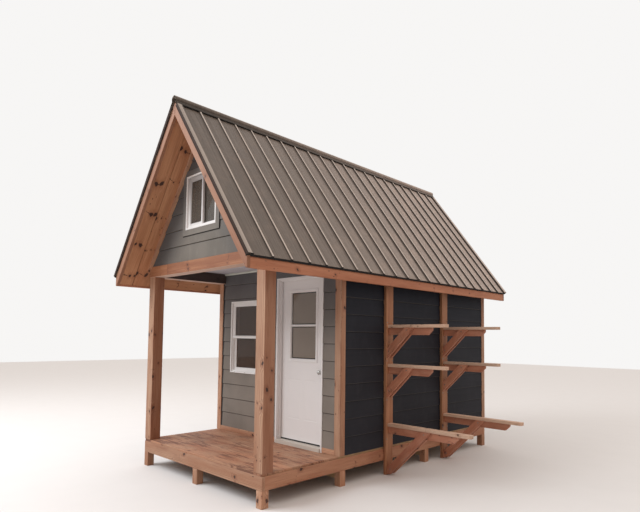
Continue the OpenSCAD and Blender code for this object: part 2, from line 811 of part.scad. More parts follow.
// Arms on edge, with the lower corner of the free end cut off
module rack_arms() {
    color("indianred") place() for (y = rack_ys, i = [0:2]) {
        foot = deck_h + arm_zs[i];
        end_x = half_w + arm_reaches[i];
        along_y(y - plank_t / 2, y + plank_t / 2) polygon([[rack_x, foot], [end_x - arm_cut, foot],
            [end_x, foot + arm_cut], [end_x, foot + arm_d], [rack_x, foot + arm_d]]);
    }
}

// Flat rests for the hulls, one on each arm
module rack_rests() {
    color("tan") place() for (y = rack_ys, i = [0:2]) {
        foot = deck_h + arm_zs[i] + arm_d;
        span([rack_x, y - rest_w / 2, foot],
            [half_w + arm_reaches[i] + rest_overs[i], y + rest_w / 2, foot + plank_t]);
    }
}

// Pairs of planks at 45 degrees that clasp each arm, cut plumb at the post
module rack_braces() {
    plumb_cut = arm_d * sqrt(2);
    color("chocolate") place() difference() {
        for (rack_y = rack_ys, i = [0:2], side = [-1, 1]) {
            arm_top = deck_h + arm_zs[i] + arm_d;
            foot = deck_h + arm_zs[i] - brace_drops[i];
            rise = arm_top - foot;
            y = rack_y + side * plank_t - plank_t / 2;
            along_y(y, y + plank_t) polygon([[rack_x, foot], [rack_x, foot + plumb_cut],
                [rack_x + rise - plumb_cut, arm_top], [rack_x + rise, arm_top]]);
        }
        span([half_w, 0, -deck_h], [half_w + low_arm_reach, building_l, brace_clear]);
    }
}

support_posts();
floor_beams();
end_rim_boards();
side_rim_boards();
floor_joists();
porch_deck();
room_floor();
front_posts();
front_beam();
side_beams();
porch_ceiling();
front_wall_left();
front_wall_header();
front_wall_right();
side_walls();
rear_wall();
gable_wall();
corner_boards();
base_trim();
front_window_frame();
gable_window_trim();
gable_window_frame();
window_glass();
door_frame();
door_sill();
door_hinges();
door_leaf();
door_hinge_leaves();
door_glass_frame();
door_glass();
door_knobs();
ridge_board();
rafters();
roof_boarding();
eave_boards();
eave_soffits();
rake_boards();
gable_soffits();
roof_battens();
metal_roofing();
ridge_cap();
roof_edge_trims();
rack_posts();
rack_arms();
rack_rests();
rack_braces();
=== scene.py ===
# Boathouse with an open porch and two wall racks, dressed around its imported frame
import math

import bpy
import numpy as np
from mathutils import Matrix, Vector


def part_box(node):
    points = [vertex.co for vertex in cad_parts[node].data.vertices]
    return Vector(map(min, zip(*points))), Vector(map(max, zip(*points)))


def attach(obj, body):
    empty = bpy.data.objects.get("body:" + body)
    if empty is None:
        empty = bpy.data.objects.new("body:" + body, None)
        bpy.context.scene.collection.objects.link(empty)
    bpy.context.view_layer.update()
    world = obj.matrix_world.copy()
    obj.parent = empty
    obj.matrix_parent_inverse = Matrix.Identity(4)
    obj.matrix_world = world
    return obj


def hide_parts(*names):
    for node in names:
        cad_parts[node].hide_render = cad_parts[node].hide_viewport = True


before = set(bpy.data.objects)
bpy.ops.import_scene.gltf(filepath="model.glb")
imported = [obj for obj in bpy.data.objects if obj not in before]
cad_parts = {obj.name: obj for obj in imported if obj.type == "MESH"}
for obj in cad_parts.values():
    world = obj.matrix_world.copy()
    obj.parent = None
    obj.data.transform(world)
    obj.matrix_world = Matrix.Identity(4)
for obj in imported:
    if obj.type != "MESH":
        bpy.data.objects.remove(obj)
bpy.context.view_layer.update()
scene = bpy.context.scene

# The camera stands in front of the porch's right corner and looks along the diagonal.
# Its place is measured from the foot of the right front post, at the corner of the deck.
post_low, post_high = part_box("front_posts")
deck_corner = Vector((post_high.x, post_low.y, post_low.z))
CAMERA_FROM_CORNER = Vector((3.987, -3.239, 1.350))
CAMERA_TURN = math.radians(44.79)
CAMERA_RISE = math.radians(3.24)
CAMERA_ROLL = math.radians(0.70)
FOCAL_PX = 512.8
CENTRE_LINE_PX = 308.5
PHOTO_W, PHOTO_H = 640, 512
SENSOR_MM = 36

ahead = Vector((-math.sin(CAMERA_TURN) * math.cos(CAMERA_RISE),
                math.cos(CAMERA_TURN) * math.cos(CAMERA_RISE), math.sin(CAMERA_RISE)))
level_right = Vector((math.cos(CAMERA_TURN), math.sin(CAMERA_TURN), 0))
level_up = level_right.cross(ahead)
rolled_right = level_right * math.cos(CAMERA_ROLL) + level_up * math.sin(CAMERA_ROLL)
rolled_up = level_up * math.cos(CAMERA_ROLL) - level_right * math.sin(CAMERA_ROLL)
lens = bpy.data.cameras.new("camera")
lens.sensor_width = SENSOR_MM
lens.lens = FOCAL_PX / PHOTO_W * SENSOR_MM
lens.shift_y = (CENTRE_LINE_PX - PHOTO_H / 2) / PHOTO_W
camera = bpy.data.objects.new("camera", lens)
camera.matrix_world = Matrix.Translation(deck_corner + CAMERA_FROM_CORNER) @ Matrix(
    (rolled_right, rolled_up, -ahead)).transposed().to_4x4()
scene.collection.objects.link(camera)
scene.camera = camera


# Materials are written as sums: each wire is one output of a node, and arithmetic on wires
# and numbers adds the nodes that work it out.
class Wire:
    """One output socket of a node in a material's tree."""

    def __init__(self, tree, socket=None):
        self.tree = tree
        self.socket = socket

    def node(self, kind, settings={}, sockets={}, output=0):
        """A node of this kind: its settings are set first, then the values or links of its sockets."""
        new = self.tree.nodes.new("ShaderNode" + kind)
        for name, value in settings.items():
            setattr(new, name, value)
        for name, value in sockets.items():
            if isinstance(value, Wire):
                self.tree.links.new(value.socket, new.inputs[name])
            else:
                new.inputs[name].default_value = value
        return Wire(self.tree, new.outputs[output]) if len(new.outputs) else None

    def math(self, operation, *values):
        return self.node("Math", {"operation": operation}, dict(enumerate(values)))

    def ramp(self, low, high):
        """0 below low and 1 above high, smooth between; low may be the greater of the two."""
        return self.node("MapRange", {"interpolation_type": "SMOOTHSTEP"},
                         {"Value": self, "From Min": low, "From Max": high})

    def between(self, colour, other):
        """A colour at 0 and the other at 1."""
        colour, other = (c if isinstance(c, Wire) else (*c, 1) for c in (colour, other))
        return self.node("Mix", {"data_type": "RGBA"}, {0: self, 6: colour, 7: other}, 2)

    def scaled(self, x, y, z):
        """A place times a number each way: noise on it has that many waves to the metre there."""
        return self.node("VectorMath", {"operation": "MULTIPLY"}, {0: self, 1: (x, y, z)})

    def shaded(self, factor):
        """A colour times a number."""
        return self.node("VectorMath", {"operation": "SCALE"}, {0: self, "Scale": factor})

    def parts(self):
        return [self.node("SeparateXYZ", {}, {0: self}, i) for i in range(3)]

    def vector(self, x, y, z):
        return self.node("CombineXYZ", {}, {0: x, 1: y, 2: z})

    def attribute(self, name, output=2):
        """What the mesh carries at each point: output 1 is a vector, and 2 a number."""
        return self.node("Attribute", {"attribute_name": name}, {}, output)

    def pick(self, output=0):
        """A chance number for each value of this one: output 1 is three of them, as a vector."""
        return self.node("TexWhiteNoise", {"noise_dimensions": "1D"}, {"W": self}, output)

    def cells(self):
        """Distance to the nearest of points strewn one to each unit cell."""
        return self.node("TexVoronoi", {}, {"Vector": self, "Scale": 1.0})

    def noise(self, scale, detail=3, roughness=0.5):
        """Soft noise from 0 to 1 with this many waves to the metre, and as many finer octaves as detail
        says, each weaker than the last by the roughness."""
        return self.node("TexNoise", {}, {
            "Vector": self, "Scale": scale, "Detail": detail, "Roughness": roughness})


for word, operation in (("add", "ADD"), ("sub", "SUBTRACT"), ("mul", "MULTIPLY"), ("truediv", "DIVIDE"),
                        ("pow", "POWER")):
    setattr(Wire, f"__{word}__", lambda left, right, sign=operation: left.math(sign, left, right))
    setattr(Wire, f"__r{word}__", lambda right, left, sign=operation: right.math(sign, left, right))
for word, operation in (("floor", "FLOOR"), ("sine", "SINE"), ("least", "MINIMUM"), ("most", "MAXIMUM")):
    setattr(Wire, word, lambda *wires, sign=operation: wires[0].math(sign, *wires))


def start_material(name):
    """A new material and the wires of its Object coordinates."""
    material = bpy.data.materials.new(name)
    material.use_nodes = True
    material.node_tree.nodes.clear()
    return material, Wire(material.node_tree).node("TexCoord", {}, {}, 3)


def end_material(material, wire, colour, roughness, bump=None, bump_depth=0.001, **constants):
    """The surface shader, with what varies over it linked and the constants on its own sockets."""
    sockets = {"Base Color": colour, "Roughness": roughness}
    if bump is not None:
        sockets["Normal"] = wire.node("Bump", {}, {"Height": bump, "Distance": bump_depth, "Strength": 1.0})
    for name, value in constants.items():
        sockets[name.replace("_", " ")] = value
    wire.node("OutputMaterial", {}, {0: wire.node("BsdfPrincipled", {}, sockets)})
    return material


def shades(colour, variation):
    """A colour made darker and lighter by a share of itself."""
    return [c * (1 - variation) for c in colour], [min(1, c * (1 + variation)) for c in colour]


# The floor and the light are a plain studio: a pale level floor, an even pale sky and
# one wide soft lamp from the front left, as under a bright overcast sky.
FLOOR_REACH = 30
FLOOR_COLOUR = (0.80, 0.78, 0.77)
FLOOR_BOUNCE = (0.62, 0.60, 0.585)
FLOOR_SPECKLE = 0.96
FLOOR_ROUGH = 0.9
SKY_COLOUR = (1.0, 0.955, 0.915)
SKY_WARM = (1.02, 0.84, 0.73)
WARM_FROM, WARM_TO = 0.0, 0.9
SKY_LOW, SKY_HIGH = 0.22, 1.30
BACKDROP = (0.93, 0.92, 0.91)
LAMP_PLACE = Vector((-5.0, -9.0, 9.0))
LAMP_AIM = Vector((0, 0, 1.5))
LAMP_SIZE = 7
LAMP_WATTS = 900
LAMP_COLOUR = (0.95, 1.0, 1.05)

material, place = start_material("floor_paint")
pale = place.noise(3.0, 4).between(FLOOR_COLOUR, [c * FLOOR_SPECKLE for c in FLOOR_COLOUR])
in_view = place.node("LightPath", {}, {}, "Is Camera Ray")
end_material(material, place, in_view.between(FLOOR_BOUNCE, pale), FLOOR_ROUGH)
mesh = bpy.data.meshes.new("floor")
mesh.from_pydata([(x * FLOOR_REACH, y * FLOOR_REACH, 0) for x, y in ((-1, -1), (1, -1), (1, 1), (-1, 1))], [],
                 [(0, 1, 2, 3)])
mesh.materials.append(material)
floor = bpy.data.objects.new("floor", mesh)
scene.collection.objects.link(floor)

world = bpy.data.worlds.new("sky")
world.use_nodes = True
world.node_tree.nodes.clear()
sky = Wire(world.node_tree)
camera_ray, glossy_ray, transmission_ray = (
    sky.node("LightPath", {}, {}, f"Is {kind} Ray") for kind in ("Camera", "Glossy", "Transmission"))
rightward, _, height = sky.node("TexCoord", {}, {}, "Generated").parts()
light = sky.node("Background", {}, {"Color": rightward.ramp(WARM_FROM, WARM_TO).between(SKY_COLOUR, SKY_WARM),
                                    "Strength": height.most(0) * (SKY_HIGH - SKY_LOW) + SKY_LOW})
backdrop = sky.node("Background", {}, {"Color": (*BACKDROP, 1), "Strength": 1.0})
seen = camera_ray.most(glossy_ray.most(transmission_ray))
sky.node("OutputWorld", {}, {0: sky.node("MixShader", {}, {0: seen, 1: light, 2: backdrop})})
scene.world = world

lamp_light = bpy.data.lights.new("lamp", "AREA")
lamp_light.size = LAMP_SIZE
lamp_light.energy = LAMP_WATTS
lamp_light.color = LAMP_COLOUR
lamp = bpy.data.objects.new("lamp", lamp_light)
lamp.matrix_world = Matrix.Translation(LAMP_PLACE) @ (
    LAMP_PLACE - LAMP_AIM).to_track_quat("Z", "Y").to_matrix().to_4x4()
scene.collection.objects.link(lamp)
scene.view_settings.view_transform = "Standard"


# The floor rests on square stub posts and short beams, under a frame of joists with cedar rim
# boards all round. Joists and beams are plain sawn timber, out of the weather. All lumber is laid
# over the frame's own solids, with eased edges and a lengthwise grain that its material reads.
EASE = 0.004
EASE_TURNS = np.radians([0, 45, 90])
PITH_AWAY = (0.03, 0.11)
KNOT_LANE = 0.065
KNOT_BEND_ALONG, KNOT_BEND_ACROSS = 0.030, 0.022
KNOT_LONG = 0.7
KNOT_HALO = 0.002
ARC_WAVES, ARC_HIGH, ARC_BREAKS = 38, 0.014, 42
ARC_THIN = (0.000040, 0.000004)
RING_SWIRL, RING_SWAY = 0.010, 0.022
PATCH_DARK, PIN_DARK, HALO_DARK = 0.4, 0.8, 0.45
GRAIN_ROUGH, GRAIN_DEEP = 0.18, 0.0008
CEDAR = (0.57, 0.345, 0.225), (0.45, 0.220, 0.125), (0.24, 0.085, 0.042), (0.055, 0.020, 0.012)
STAINED = (0.50, 0.240, 0.122), (0.35, 0.140, 0.066), (0.20, 0.062, 0.028), (0.055, 0.020, 0.012)
FRAMING = (0.56, 0.40, 0.24), (0.47, 0.31, 0.17), (0.33, 0.19, 0.09), (0.10, 0.05, 0.03)
# Painted shade on the right faces of the posts and side rims, as a share of their colour.
RIGHT_FACE_SHADE = (0.82, 0.70, 0.64)
FACE_BAND = (0.001, 0.002)


def solids(node):
    """The corner points of each separate solid of a CAD node. Triangles with a common corner take
    the lowest label among them until nothing changes, and then each label left is one solid."""
    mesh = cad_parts[node].data
    points = np.empty(len(mesh.vertices) * 3)
    mesh.vertices.foreach_get("co", points)
    points, corner = np.unique(points.reshape(-1, 3).round(4), axis=0, return_inverse=True)
    triangles = np.empty(len(mesh.loops), int)
    mesh.loops.foreach_get("vertex_index", triangles)
    triangles = corner.reshape(-1)[triangles].reshape(-1, 3)
    label, before = np.arange(len(points)), None
    while before is None or (label != before).any():
        before = label.copy()
        np.minimum.at(label, triangles, before[triangles].min(axis=1)[:, None])
    return [points[label == one] for one in np.unique(label)]


def extent(points):
    return points.min(axis=0), points.max(axis=0)


def outline_of(points, axis):
    """A convex solid's outline seen along an axis: its corners in order of their angle about the middle."""
    flat = np.unique(np.delete(points, axis, axis=1).round(4), axis=0)
    away = flat - flat.mean(axis=0)
    return flat[np.argsort(np.arctan2(away[:, 1], away[:, 0]))]


def left_normals(steps):
    return np.stack([-steps[:, 1], steps[:, 0]], 1) / np.linalg.norm(steps, axis=1)[:, None]


def mitre(before, after, distance):
    """How far a corner goes when both its sides move by a distance: distance * (n + m) / (1 + n.m),
    from the normals n and m of the sides before and after it."""
    return distance * (before + after) / (1 + (before * after).sum(1))[:, None]


def inset(outline, distance):
    """A convex outline with each side moved in."""
    inward = left_normals(np.roll(outline, -1, axis=0) - outline)
    return outline + mitre(np.roll(inward, 1, axis=0), inward, distance)


def cut_corners(outline, distance):
    """A convex outline with each corner cut at this distance along both of its sides."""
    sides = [np.roll(outline, turn, axis=0) - outline for turn in (1, -1)]
    cuts = [outline + distance * side / np.linalg.norm(side, axis=1)[:, None] for side in sides]
    return np.stack(cuts, 1).reshape(-1, 2)


def longest_side(outline):
    """The direction of an outline's longest side, and its length."""
    sides = np.roll(outline, -1, axis=0) - outline
    lengths = np.linalg.norm(sides, axis=1)
    return sides[lengths.argmax()] / lengths.max(), lengths.max()


def raise_to(flat, axis, height):
    return np.insert(flat, axis, height, axis=1)


def rings_to_faces(count, around):
    """The quads between rings of points that follow each other, and the flat faces on both ends."""
    ring, step = np.meshgrid(np.arange(count - 1), np.arange(around), indexing="ij")
    after = (step + 1) % around
    quads = np.stack([ring * around + step, ring * around + after,
                      (ring + 1) * around + after, (ring + 1) * around + step], -1).reshape(-1, 4)
    ends = [list(range(around - 1, -1, -1)), list(range((count - 1) * around, count * around))]
    return quads.tolist() + ends


def board(outline, axis, low, high, ease=EASE):
    """A board: its outline with cut corners, carried from low to high along an axis. At both ends
    it is drawn in by ease * (1 - sin a) at a distance of ease * (1 - cos a), for a quarter turn in a."""
    cut = cut_corners(outline, ease)
    rings = [raise_to(inset(cut, ease * (1 - math.sin(a))), axis, end + way * ease * (1 - math.cos(a)))
             for end, way, turns in ((low, 1, EASE_TURNS), (high, -1, EASE_TURNS[::-1])) for a in turns]
    return np.concatenate(rings), rings_to_faces(len(rings), len(cut))


def grain_frame(outline, axis, low, high):
    """Three directions of a board: along its longest side, and the two across it."""
    side, length = longest_side(outline)
    unit, longest = np.eye(3)[axis], np.insert(side, axis, 0)
    along, across = (longest, unit) if length > high - low else (unit, longest)
    return np.stack([along, across, np.cross(along, across)])


def outward(points, faces):
    """The faces of a closed part turned so that the volume inside them is positive."""
    fans = np.array([(face[0], a, b) for face in faces for a, b in zip(face[1:-1], face[2:])])
    a, b, c = points[fans].transpose(1, 0, 2)
    return faces if (a * np.cross(b, c)).sum() > 0 else [face[::-1] for face in faces]


def join_mesh(name, parts, material, attributes={}):
    """One object at the origin from several closed parts, with a value per point."""
    parts = [(points, outward(points, faces)) for points, faces in parts]
    starts = np.cumsum([0] + [len(points) for points, _ in parts])
    faces = [[corner + start for corner in face]
             for (_, group), start in zip(parts, starts) for face in group]
    mesh = bpy.data.meshes.new(name)
    mesh.from_pydata(np.concatenate([points for points, _ in parts]), [], faces)
    for label, values in attributes.items():
        kind, field = ("FLOAT_VECTOR", "vector") if values.ndim == 2 else ("FLOAT", "value")
        mesh.attributes.new(label, kind, "POINT").data.foreach_set(field, values.astype(np.float32).ravel())
    mesh.materials.append(material)
    piece = bpy.data.objects.new(name, mesh)
    scene.collection.objects.link(piece)
    return piece


def lumber(name, pieces, material, seed, ease=EASE):
    """Boards with a grain of their own: each point's place along and across its board, from a start
    and a pith that chance picks for the board, and a tone from -1 to 1."""
    chance = np.random.default_rng(seed)
    parts, grains, tones = [], [], []
    for outline, axis, low, high in pieces:
        points, faces = board(outline, axis, low, high, ease)
        pith = chance.uniform(*PITH_AWAY, 2) * chance.choice([-1, 1], 2)
        start = [chance.uniform(0, 90), *pith]
        grains.append((points - points.mean(axis=0)) @ grain_frame(outline, axis, low, high).T + start)
        tones.append(np.full(len(points), chance.uniform(-1, 1)))
        parts.append((points, faces))
    return join_mesh(name, parts, material, {"grain": np.concatenate(grains), "tone": np.concatenate(tones)})


def laid_over(node, axis):
    """Every solid of a CAD node as an outline seen along an axis and its reach along it."""
    return [(outline_of(points, axis), axis, points[:, axis].min(), points[:, axis].max())
            for points in solids(node)]


def fasten(piece, slot, *nodes, body="building"):
    """The piece moves with a body and stands for the CAD nodes named, which it hides. The slot is not used.
    """
    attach(piece, body)
    for node in nodes:
        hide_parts(node)


def timber(name, node, axis, material, seed, slot="stained_cedar", ease=EASE):
    """Lumber laid over all the solids of a CAD node, which it stands for."""
    fasten(lumber(name, laid_over(node, axis), material, seed, ease), slot, node)


def knots(along, across, spacing, largest, gaps, spread):
    """How much of a point is knot, and how near one it is, in knot radii. Knots stand in whorls, one
    row of cells each spacing along the board, and chance drops a share of the rows, sizes each knot
    and moves it in its cell. A thin dark arc joins the knots of a row, and noise bends them all."""
    bends = along.vector(along * 28, across * 45, 0)
    along = along + (bends.noise(1.0, 2) - 0.5) * KNOT_BEND_ALONG
    across = across + (bends.scaled(1.3, 1.1, 1).noise(1.1, 2) - 0.5) * KNOT_BEND_ACROSS
    row = (along / spacing).floor()
    lane = (across / KNOT_LANE).floor()
    right, up, size = along.node("TexWhiteNoise", {"noise_dimensions": "2D"},
                                 {"Vector": along.vector(row, lane, 0)}, 1).parts()
    whorl, kept, bend = row.pick(1).parts()
    kept = kept.ramp(gaps - 0.02, gaps + 0.02)
    arc = (across * ARC_WAVES + bend * 6).sine() * ARC_HIGH
    off_line = along - (row + 0.35 + whorl * 0.3) * spacing - arc
    far_along = off_line - (right - 0.5) * spread
    far_across = across - (lane + 0.35 + up * 0.3) * KNOT_LANE
    away = (far_along * far_along * KNOT_LONG + far_across * far_across) ** 0.5
    radius = size.ramp(0.20, 0.95) * kept * largest
    broken = (across * ARC_BREAKS + bend * 9).sine().ramp(-0.1, 0.8)
    line = (off_line * off_line).ramp(*ARC_THIN) * kept * broken
    return away.ramp(radius, radius * 0.6), away / (radius + KNOT_HALO), line


def wood(name, pale, mid, deep, knot_colour, ring=0.007, knot_size=0.016, whorl=0.5, rough=0.62,
         streaks=0.35, tone_depth=0.14, arcs=0.3, gaps=0.4, spread=0.035, stain=None, lay=None):
    """Flat-sawn boards: rings about the pith, long streaks, broad tones and dark knots. Where the
    mesh has no grain of its own, lay makes one from the Object coordinates."""
    material, place = start_material(name)
    grain, tone = lay(place) if lay else (place.attribute("grain", 1), place.attribute("tone"))
    along, across, through = grain.parts()
    knot, nearness, line = knots(along, across + through, whorl, knot_size, gaps, spread)
    swirl = nearness.ramp(4.0, 0.6) * RING_SWIRL
    sway = grain.scaled(0.9, 6, 6).noise(1.0, 2) * RING_SWAY
    radius = (across * across + through * through) ** 0.5 + sway + swirl
    rings = ((radius * (2 * math.pi / ring)).sine() + 1) * 0.5
    broad = grain.scaled(0.7, 7, 7).noise(1.0, 4, 0.6).ramp(0.35, 0.68)
    fine = grain.scaled(3.5, 160, 160).noise(1.0, 3, 0.65)
    patch = grain.scaled(2.2, 11, 11).noise(1.0, 3).ramp(0.5, 0.75)
    pins = grain.scaled(13, 30, 30).cells().ramp(0.22, 0.12)
    cluster = grain.scaled(2.4, 5, 5).noise(1.0, 2).ramp(0.56, 0.66)
    colour = broad.between(pale, mid)
    for share, darker in ((rings * rings * streaks, deep), (fine.ramp(0.45, 0.75) * streaks, deep),
                          (patch * PATCH_DARK, deep), (pins * cluster * PIN_DARK, knot_colour),
                          (nearness.ramp(2.6, 1.0) * HALO_DARK, deep), (line * arcs, knot_colour),
                          (knot, knot_colour)):
        colour = share.between(colour, darker)
    colour = colour.shaded(tone * tone_depth + 1.0)
    if stain is not None:
        colour = stain(place, grain, colour)
    height = fine * 0.5 + rings * 0.35 - knot * 0.6
    return end_material(material, place, colour, fine * GRAIN_ROUGH + rough - GRAIN_ROUGH / 2, height,
                        GRAIN_DEEP)


right_faces = {round(points[:, 0].max(), 3) for node in ("front_posts", "side_rim_boards")
               for points in solids(node)}


def shade_right_faces(place, grain, colour):
    """Painted shade: the faces turned to the right are made darker and redder."""
    x = place.parts()[0]
    near, far = FACE_BAND
    for face in sorted(right_faces):
        on_face = x.ramp(face - far, face - near) * x.ramp(face + far, face + near)
        colour = on_face.between(colour, colour.scaled(*RIGHT_FACE_SHADE))
    return colour


cedar = wood("oiled_cedar", *CEDAR, knot_size=0.021, streaks=0.5, gaps=0.25, spread=0.22)
post_cedar = wood("post_cedar", *CEDAR, knot_size=0.021, streaks=0.5, gaps=0.35, spread=0.22,
                  stain=shade_right_faces)
red_cedar = wood("stained_cedar", *STAINED, knot_size=0.020, streaks=0.5)
framing = wood("framing_timber", *FRAMING, streaks=0.25)
for node, axis, material, seed, slot in (
        ("support_posts", 1, cedar, 11, "stained_cedar"), ("floor_beams", 1, framing, 12, "framing_timber"),
        ("end_rim_boards", 1, cedar, 13, "stained_cedar"),
        ("side_rim_boards", 0, post_cedar, 15, "stained_cedar"),
        ("floor_joists", 0, framing, 16, "framing_timber")):
    timber(node + "_timber", node, axis, material, seed, slot)


# The porch has wide cedar boards along its front, worn pale, with dark damp streaks that
# follow the grain. The room has the same boards without the weather.
BOARD_WIDE = 0.14
FINE_EASE = 0.003
TINY_EASE = 0.002
DAMP_EDGE = (0.515, 0.57)
DAMP = (0.13, 0.046, 0.026)
DUST = (0.40, 0.27, 0.18)
DAMP_DARK, DUST_PALE = 0.8, 0.3
DECK = (0.455, 0.232, 0.136), (0.36, 0.158, 0.086), (0.23, 0.079, 0.038), (0.09, 0.035, 0.02)
ROOM = (0.50, 0.34, 0.19), (0.42, 0.26, 0.14), (0.30, 0.17, 0.08), (0.10, 0.05, 0.03)


def damp(place, grain, colour):
    """Dark where long noise along the grain and broad noise over the deck are both high."""
    broad = place.scaled(2.2, 3.4, 1).noise(1.0, 3)
    streak = place.scaled(4.5, 55, 1).noise(1.0, 5, 0.65)
    wet = (broad * 0.4 + streak * 0.6).ramp(*DAMP_EDGE)
    dust_and_sheen = place.scaled(1.1, 2.0, 1).noise(2.3, 2).ramp(0.42, 0.62)
    return (wet * DAMP_DARK).between((dust_and_sheen * DUST_PALE).between(colour, DUST), DAMP)


def rectangle(left, right, low, high):
    return np.array([[left, low], [right, low], [right, high], [left, high]])


def boards_across(node):
    """A flat CAD slab as boards along the front, each near the usual width."""
    low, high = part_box(node)
    edges = np.linspace(low.y, high.y, round((high.y - low.y) / BOARD_WIDE) + 1)
    return [(rectangle(low.x, high.x, low.z, high.z), 1, a, b) for a, b in zip(edges[:-1], edges[1:])]


deck_wood = wood("deck_boards", *DECK, rough=0.7, stain=damp)
timber("porch_boards", "porch_deck", 1, deck_wood, 21, "deck_boards", FINE_EASE)
room = lumber("room_boards", boards_across("room_floor"), wood("floor_boards", *ROOM), 22, TINY_EASE)
fasten(room, "floor_boards", "room_floor")


# The square porch posts carry a front beam of two lengths, butted near its left end, and
# two side beams that run back to the room, stained dark and made darker as painted shade.
# Both beams have a painted highlight along their lower edge.
BEAM_JOINT = 0.45
SAW_GAP = 0.0015
# The pale band along the lower edge of the beams is a painted highlight.
LIT_EDGE_HIGH = 0.003
LIT_EDGE_SOFT = 0.001
LIT_EDGE_COLOUR = (0.60, 0.41, 0.32)
BEAM = (0.45, 0.205, 0.100), (0.31, 0.118, 0.054), (0.18, 0.054, 0.024), (0.10, 0.034, 0.018)
# The side beams' colours are a dark stain, made darker still as painted shade.
DARK_STAIN_AND_SHADE = (0.060, 0.038, 0.032), (0.040, 0.024, 0.021), (0.022, 0.013, 0.012), (0.012, 0.008, 0.007)
timber("porch_posts", "front_posts", 0, post_cedar, 3)
beam_low, beam_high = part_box("side_beams")


def lit_lower_edge(place, grain, colour):
    """Painted highlight: a pale band along the foot of the beam, where light catches its lower edge."""
    edge = beam_low.z + LIT_EDGE_HIGH
    return place.parts()[2].ramp(edge + LIT_EDGE_SOFT, edge - LIT_EDGE_SOFT).between(colour, LIT_EDGE_COLOUR)


beam_cedar = wood("beam_cedar", *BEAM, knot_size=0.017, streaks=0.5, arcs=0.9, gaps=0.25, whorl=0.42,
                  stain=lit_lower_edge)
shaded_dark_cedar = wood("dark_stained_cedar", *DARK_STAIN_AND_SHADE, knot_size=0.014, stain=lit_lower_edge)
(outline, axis, low, high), = laid_over("front_beam", 0)
joint = low + BEAM_JOINT
lengths = [(outline, axis, low, joint - SAW_GAP), (outline, axis, joint, high)]
fasten(lumber("front_beam_timber", lengths, beam_cedar, 31), "stained_cedar", "front_beam")
timber("side_beam_timber", "side_beams", 0, shaded_dark_cedar, 33)


# The porch ceiling is of painted boards along the porch, with a small pale cove where
# it meets the wall of the room.
COVE = 0.024
CLADDING = 0.016
PAINT_ROUGH, PAINT_DEEP = 0.16, 0.001
CEILING_PAINT = (0.55, 0.52, 0.56)
COVE_PAINT = (0.55, 0.56, 0.50)


def paint(name, colour, variation=0.06, rough=0.55, wood_grain=0.0, dirt=None, direction=(1, 1, 1),
          stain=None, gloss=0.5):
    """Paint on boards: a faint grain through it, broad fading, and dirt as a colour and an amount."""
    material, place = start_material(name)
    broad = place.noise(1.7, 4)
    fine = place.scaled(*direction).noise(60.0, 3, 0.6)
    tint = broad.ramp(0.3, 0.7).between(*shades(colour, variation))
    if dirt is not None:
        spots = place.scaled(1, 1, 0.45).noise(9.0, 5, 0.65).ramp(0.50, 0.72)
        tint = (spots * dirt[1]).between(tint, dirt[0])
    if stain is not None:
        tint = stain(place, tint)
    return end_material(material, place, tint, fine * PAINT_ROUGH + (rough - PAINT_ROUGH / 2),
                        fine * wood_grain + broad * 0.1, PAINT_DEEP, Specular_IOR_Level=gloss)


ceiling_paint = paint("ceiling_paint", CEILING_PAINT, wood_grain=0.3, direction=(0.05, 1, 1))
ceiling = lumber("ceiling_boards", boards_across("porch_ceiling"), ceiling_paint, 41)
fasten(ceiling, "pale_ceiling", "porch_ceiling")
low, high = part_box("porch_ceiling")
wall_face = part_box("front_wall_left")[0].y - CLADDING
cove_outline = [wall_face, low.z] - COVE * np.array([[1, 0], [1, 1 / 3], [1 / 3, 1], [0, 1], [0, 0]])
cove_paint = paint("cove_paint", COVE_PAINT, wood_grain=0.2)
cove = lumber("ceiling_cove", [(cove_outline, 0, low.x, high.x)], cove_paint, 42, TINY_EASE)
fasten(cove, "pale_ceiling")


# The walls are clad with wide painted lap boards. Each board slants from a thick lower edge
# to a thin upper one, and ends at the corner boards, the openings and the roof.
LAP = 0.203
LAP_BUTT = 0.0155
LAP_TIP = 0.006
LAP_ROUND = 0.003
LAP_UNDERCUT = 0.005
# Painted shade and dirt darken the top of each course, and painted shade darkens the walls high up.
LAP_SHADE = (0.935, 0.985)
LAP_SHADOW = (0.016, 0.014, 0.015)
LAP_CREASE_SHADE = (0.012, 0.011, 0.012)
BUTT_WORN = (0.35, 0.32, 0.29)
SHELTERED = (0.33, 1.0)
SHELTER_SHADE_TINT = (0.56, 0.63, 0.76)
SHADE_AND_SEAM_SHARE, BUTT_WEAR, CORNER_SHADOW_DARK, TRIM_SHADOW_DARK = 0.8, 0.15, 0.95, 0.85
BUTT_BAND = (0.05, 0.0)
SHORTEST = 0.002
# The dark strip beside the left corner board is a painted shadow.
CORNER_SHADOW_WIDE, CORNER_SHADOW_CORE = 0.038, 0.0304
TRIM_GAP = 0.001
EDGE_BOARD = 0.089
STRIP_T = 0.019
# Painted shade darkens the gable near the roof.
GABLE_SHELTER = (0.72, 0.13)
GABLE_CUT = 0.012
# A painted shadow runs round the gable window's trim.
TRIM_SHADOW = 0.010
TRIM_SHADOW_SOFT = 0.002
TRIM_SHADOW_FROM = (-0.0012, -0.0004)
BEAM_WIDE = 0.14
PAST_CORNER = 0.1
BELOW_SOFFIT = 0.05
FAR = 9

middle = (post_low.x + post_high.x) / 2
front_low, front_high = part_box("front_wall_left")
side_low, side_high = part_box("side_walls")
rear_low, rear_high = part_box("rear_wall")
gable_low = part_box("gable_wall")[0]
window_trim_low, window_trim_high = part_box("gable_window_trim")
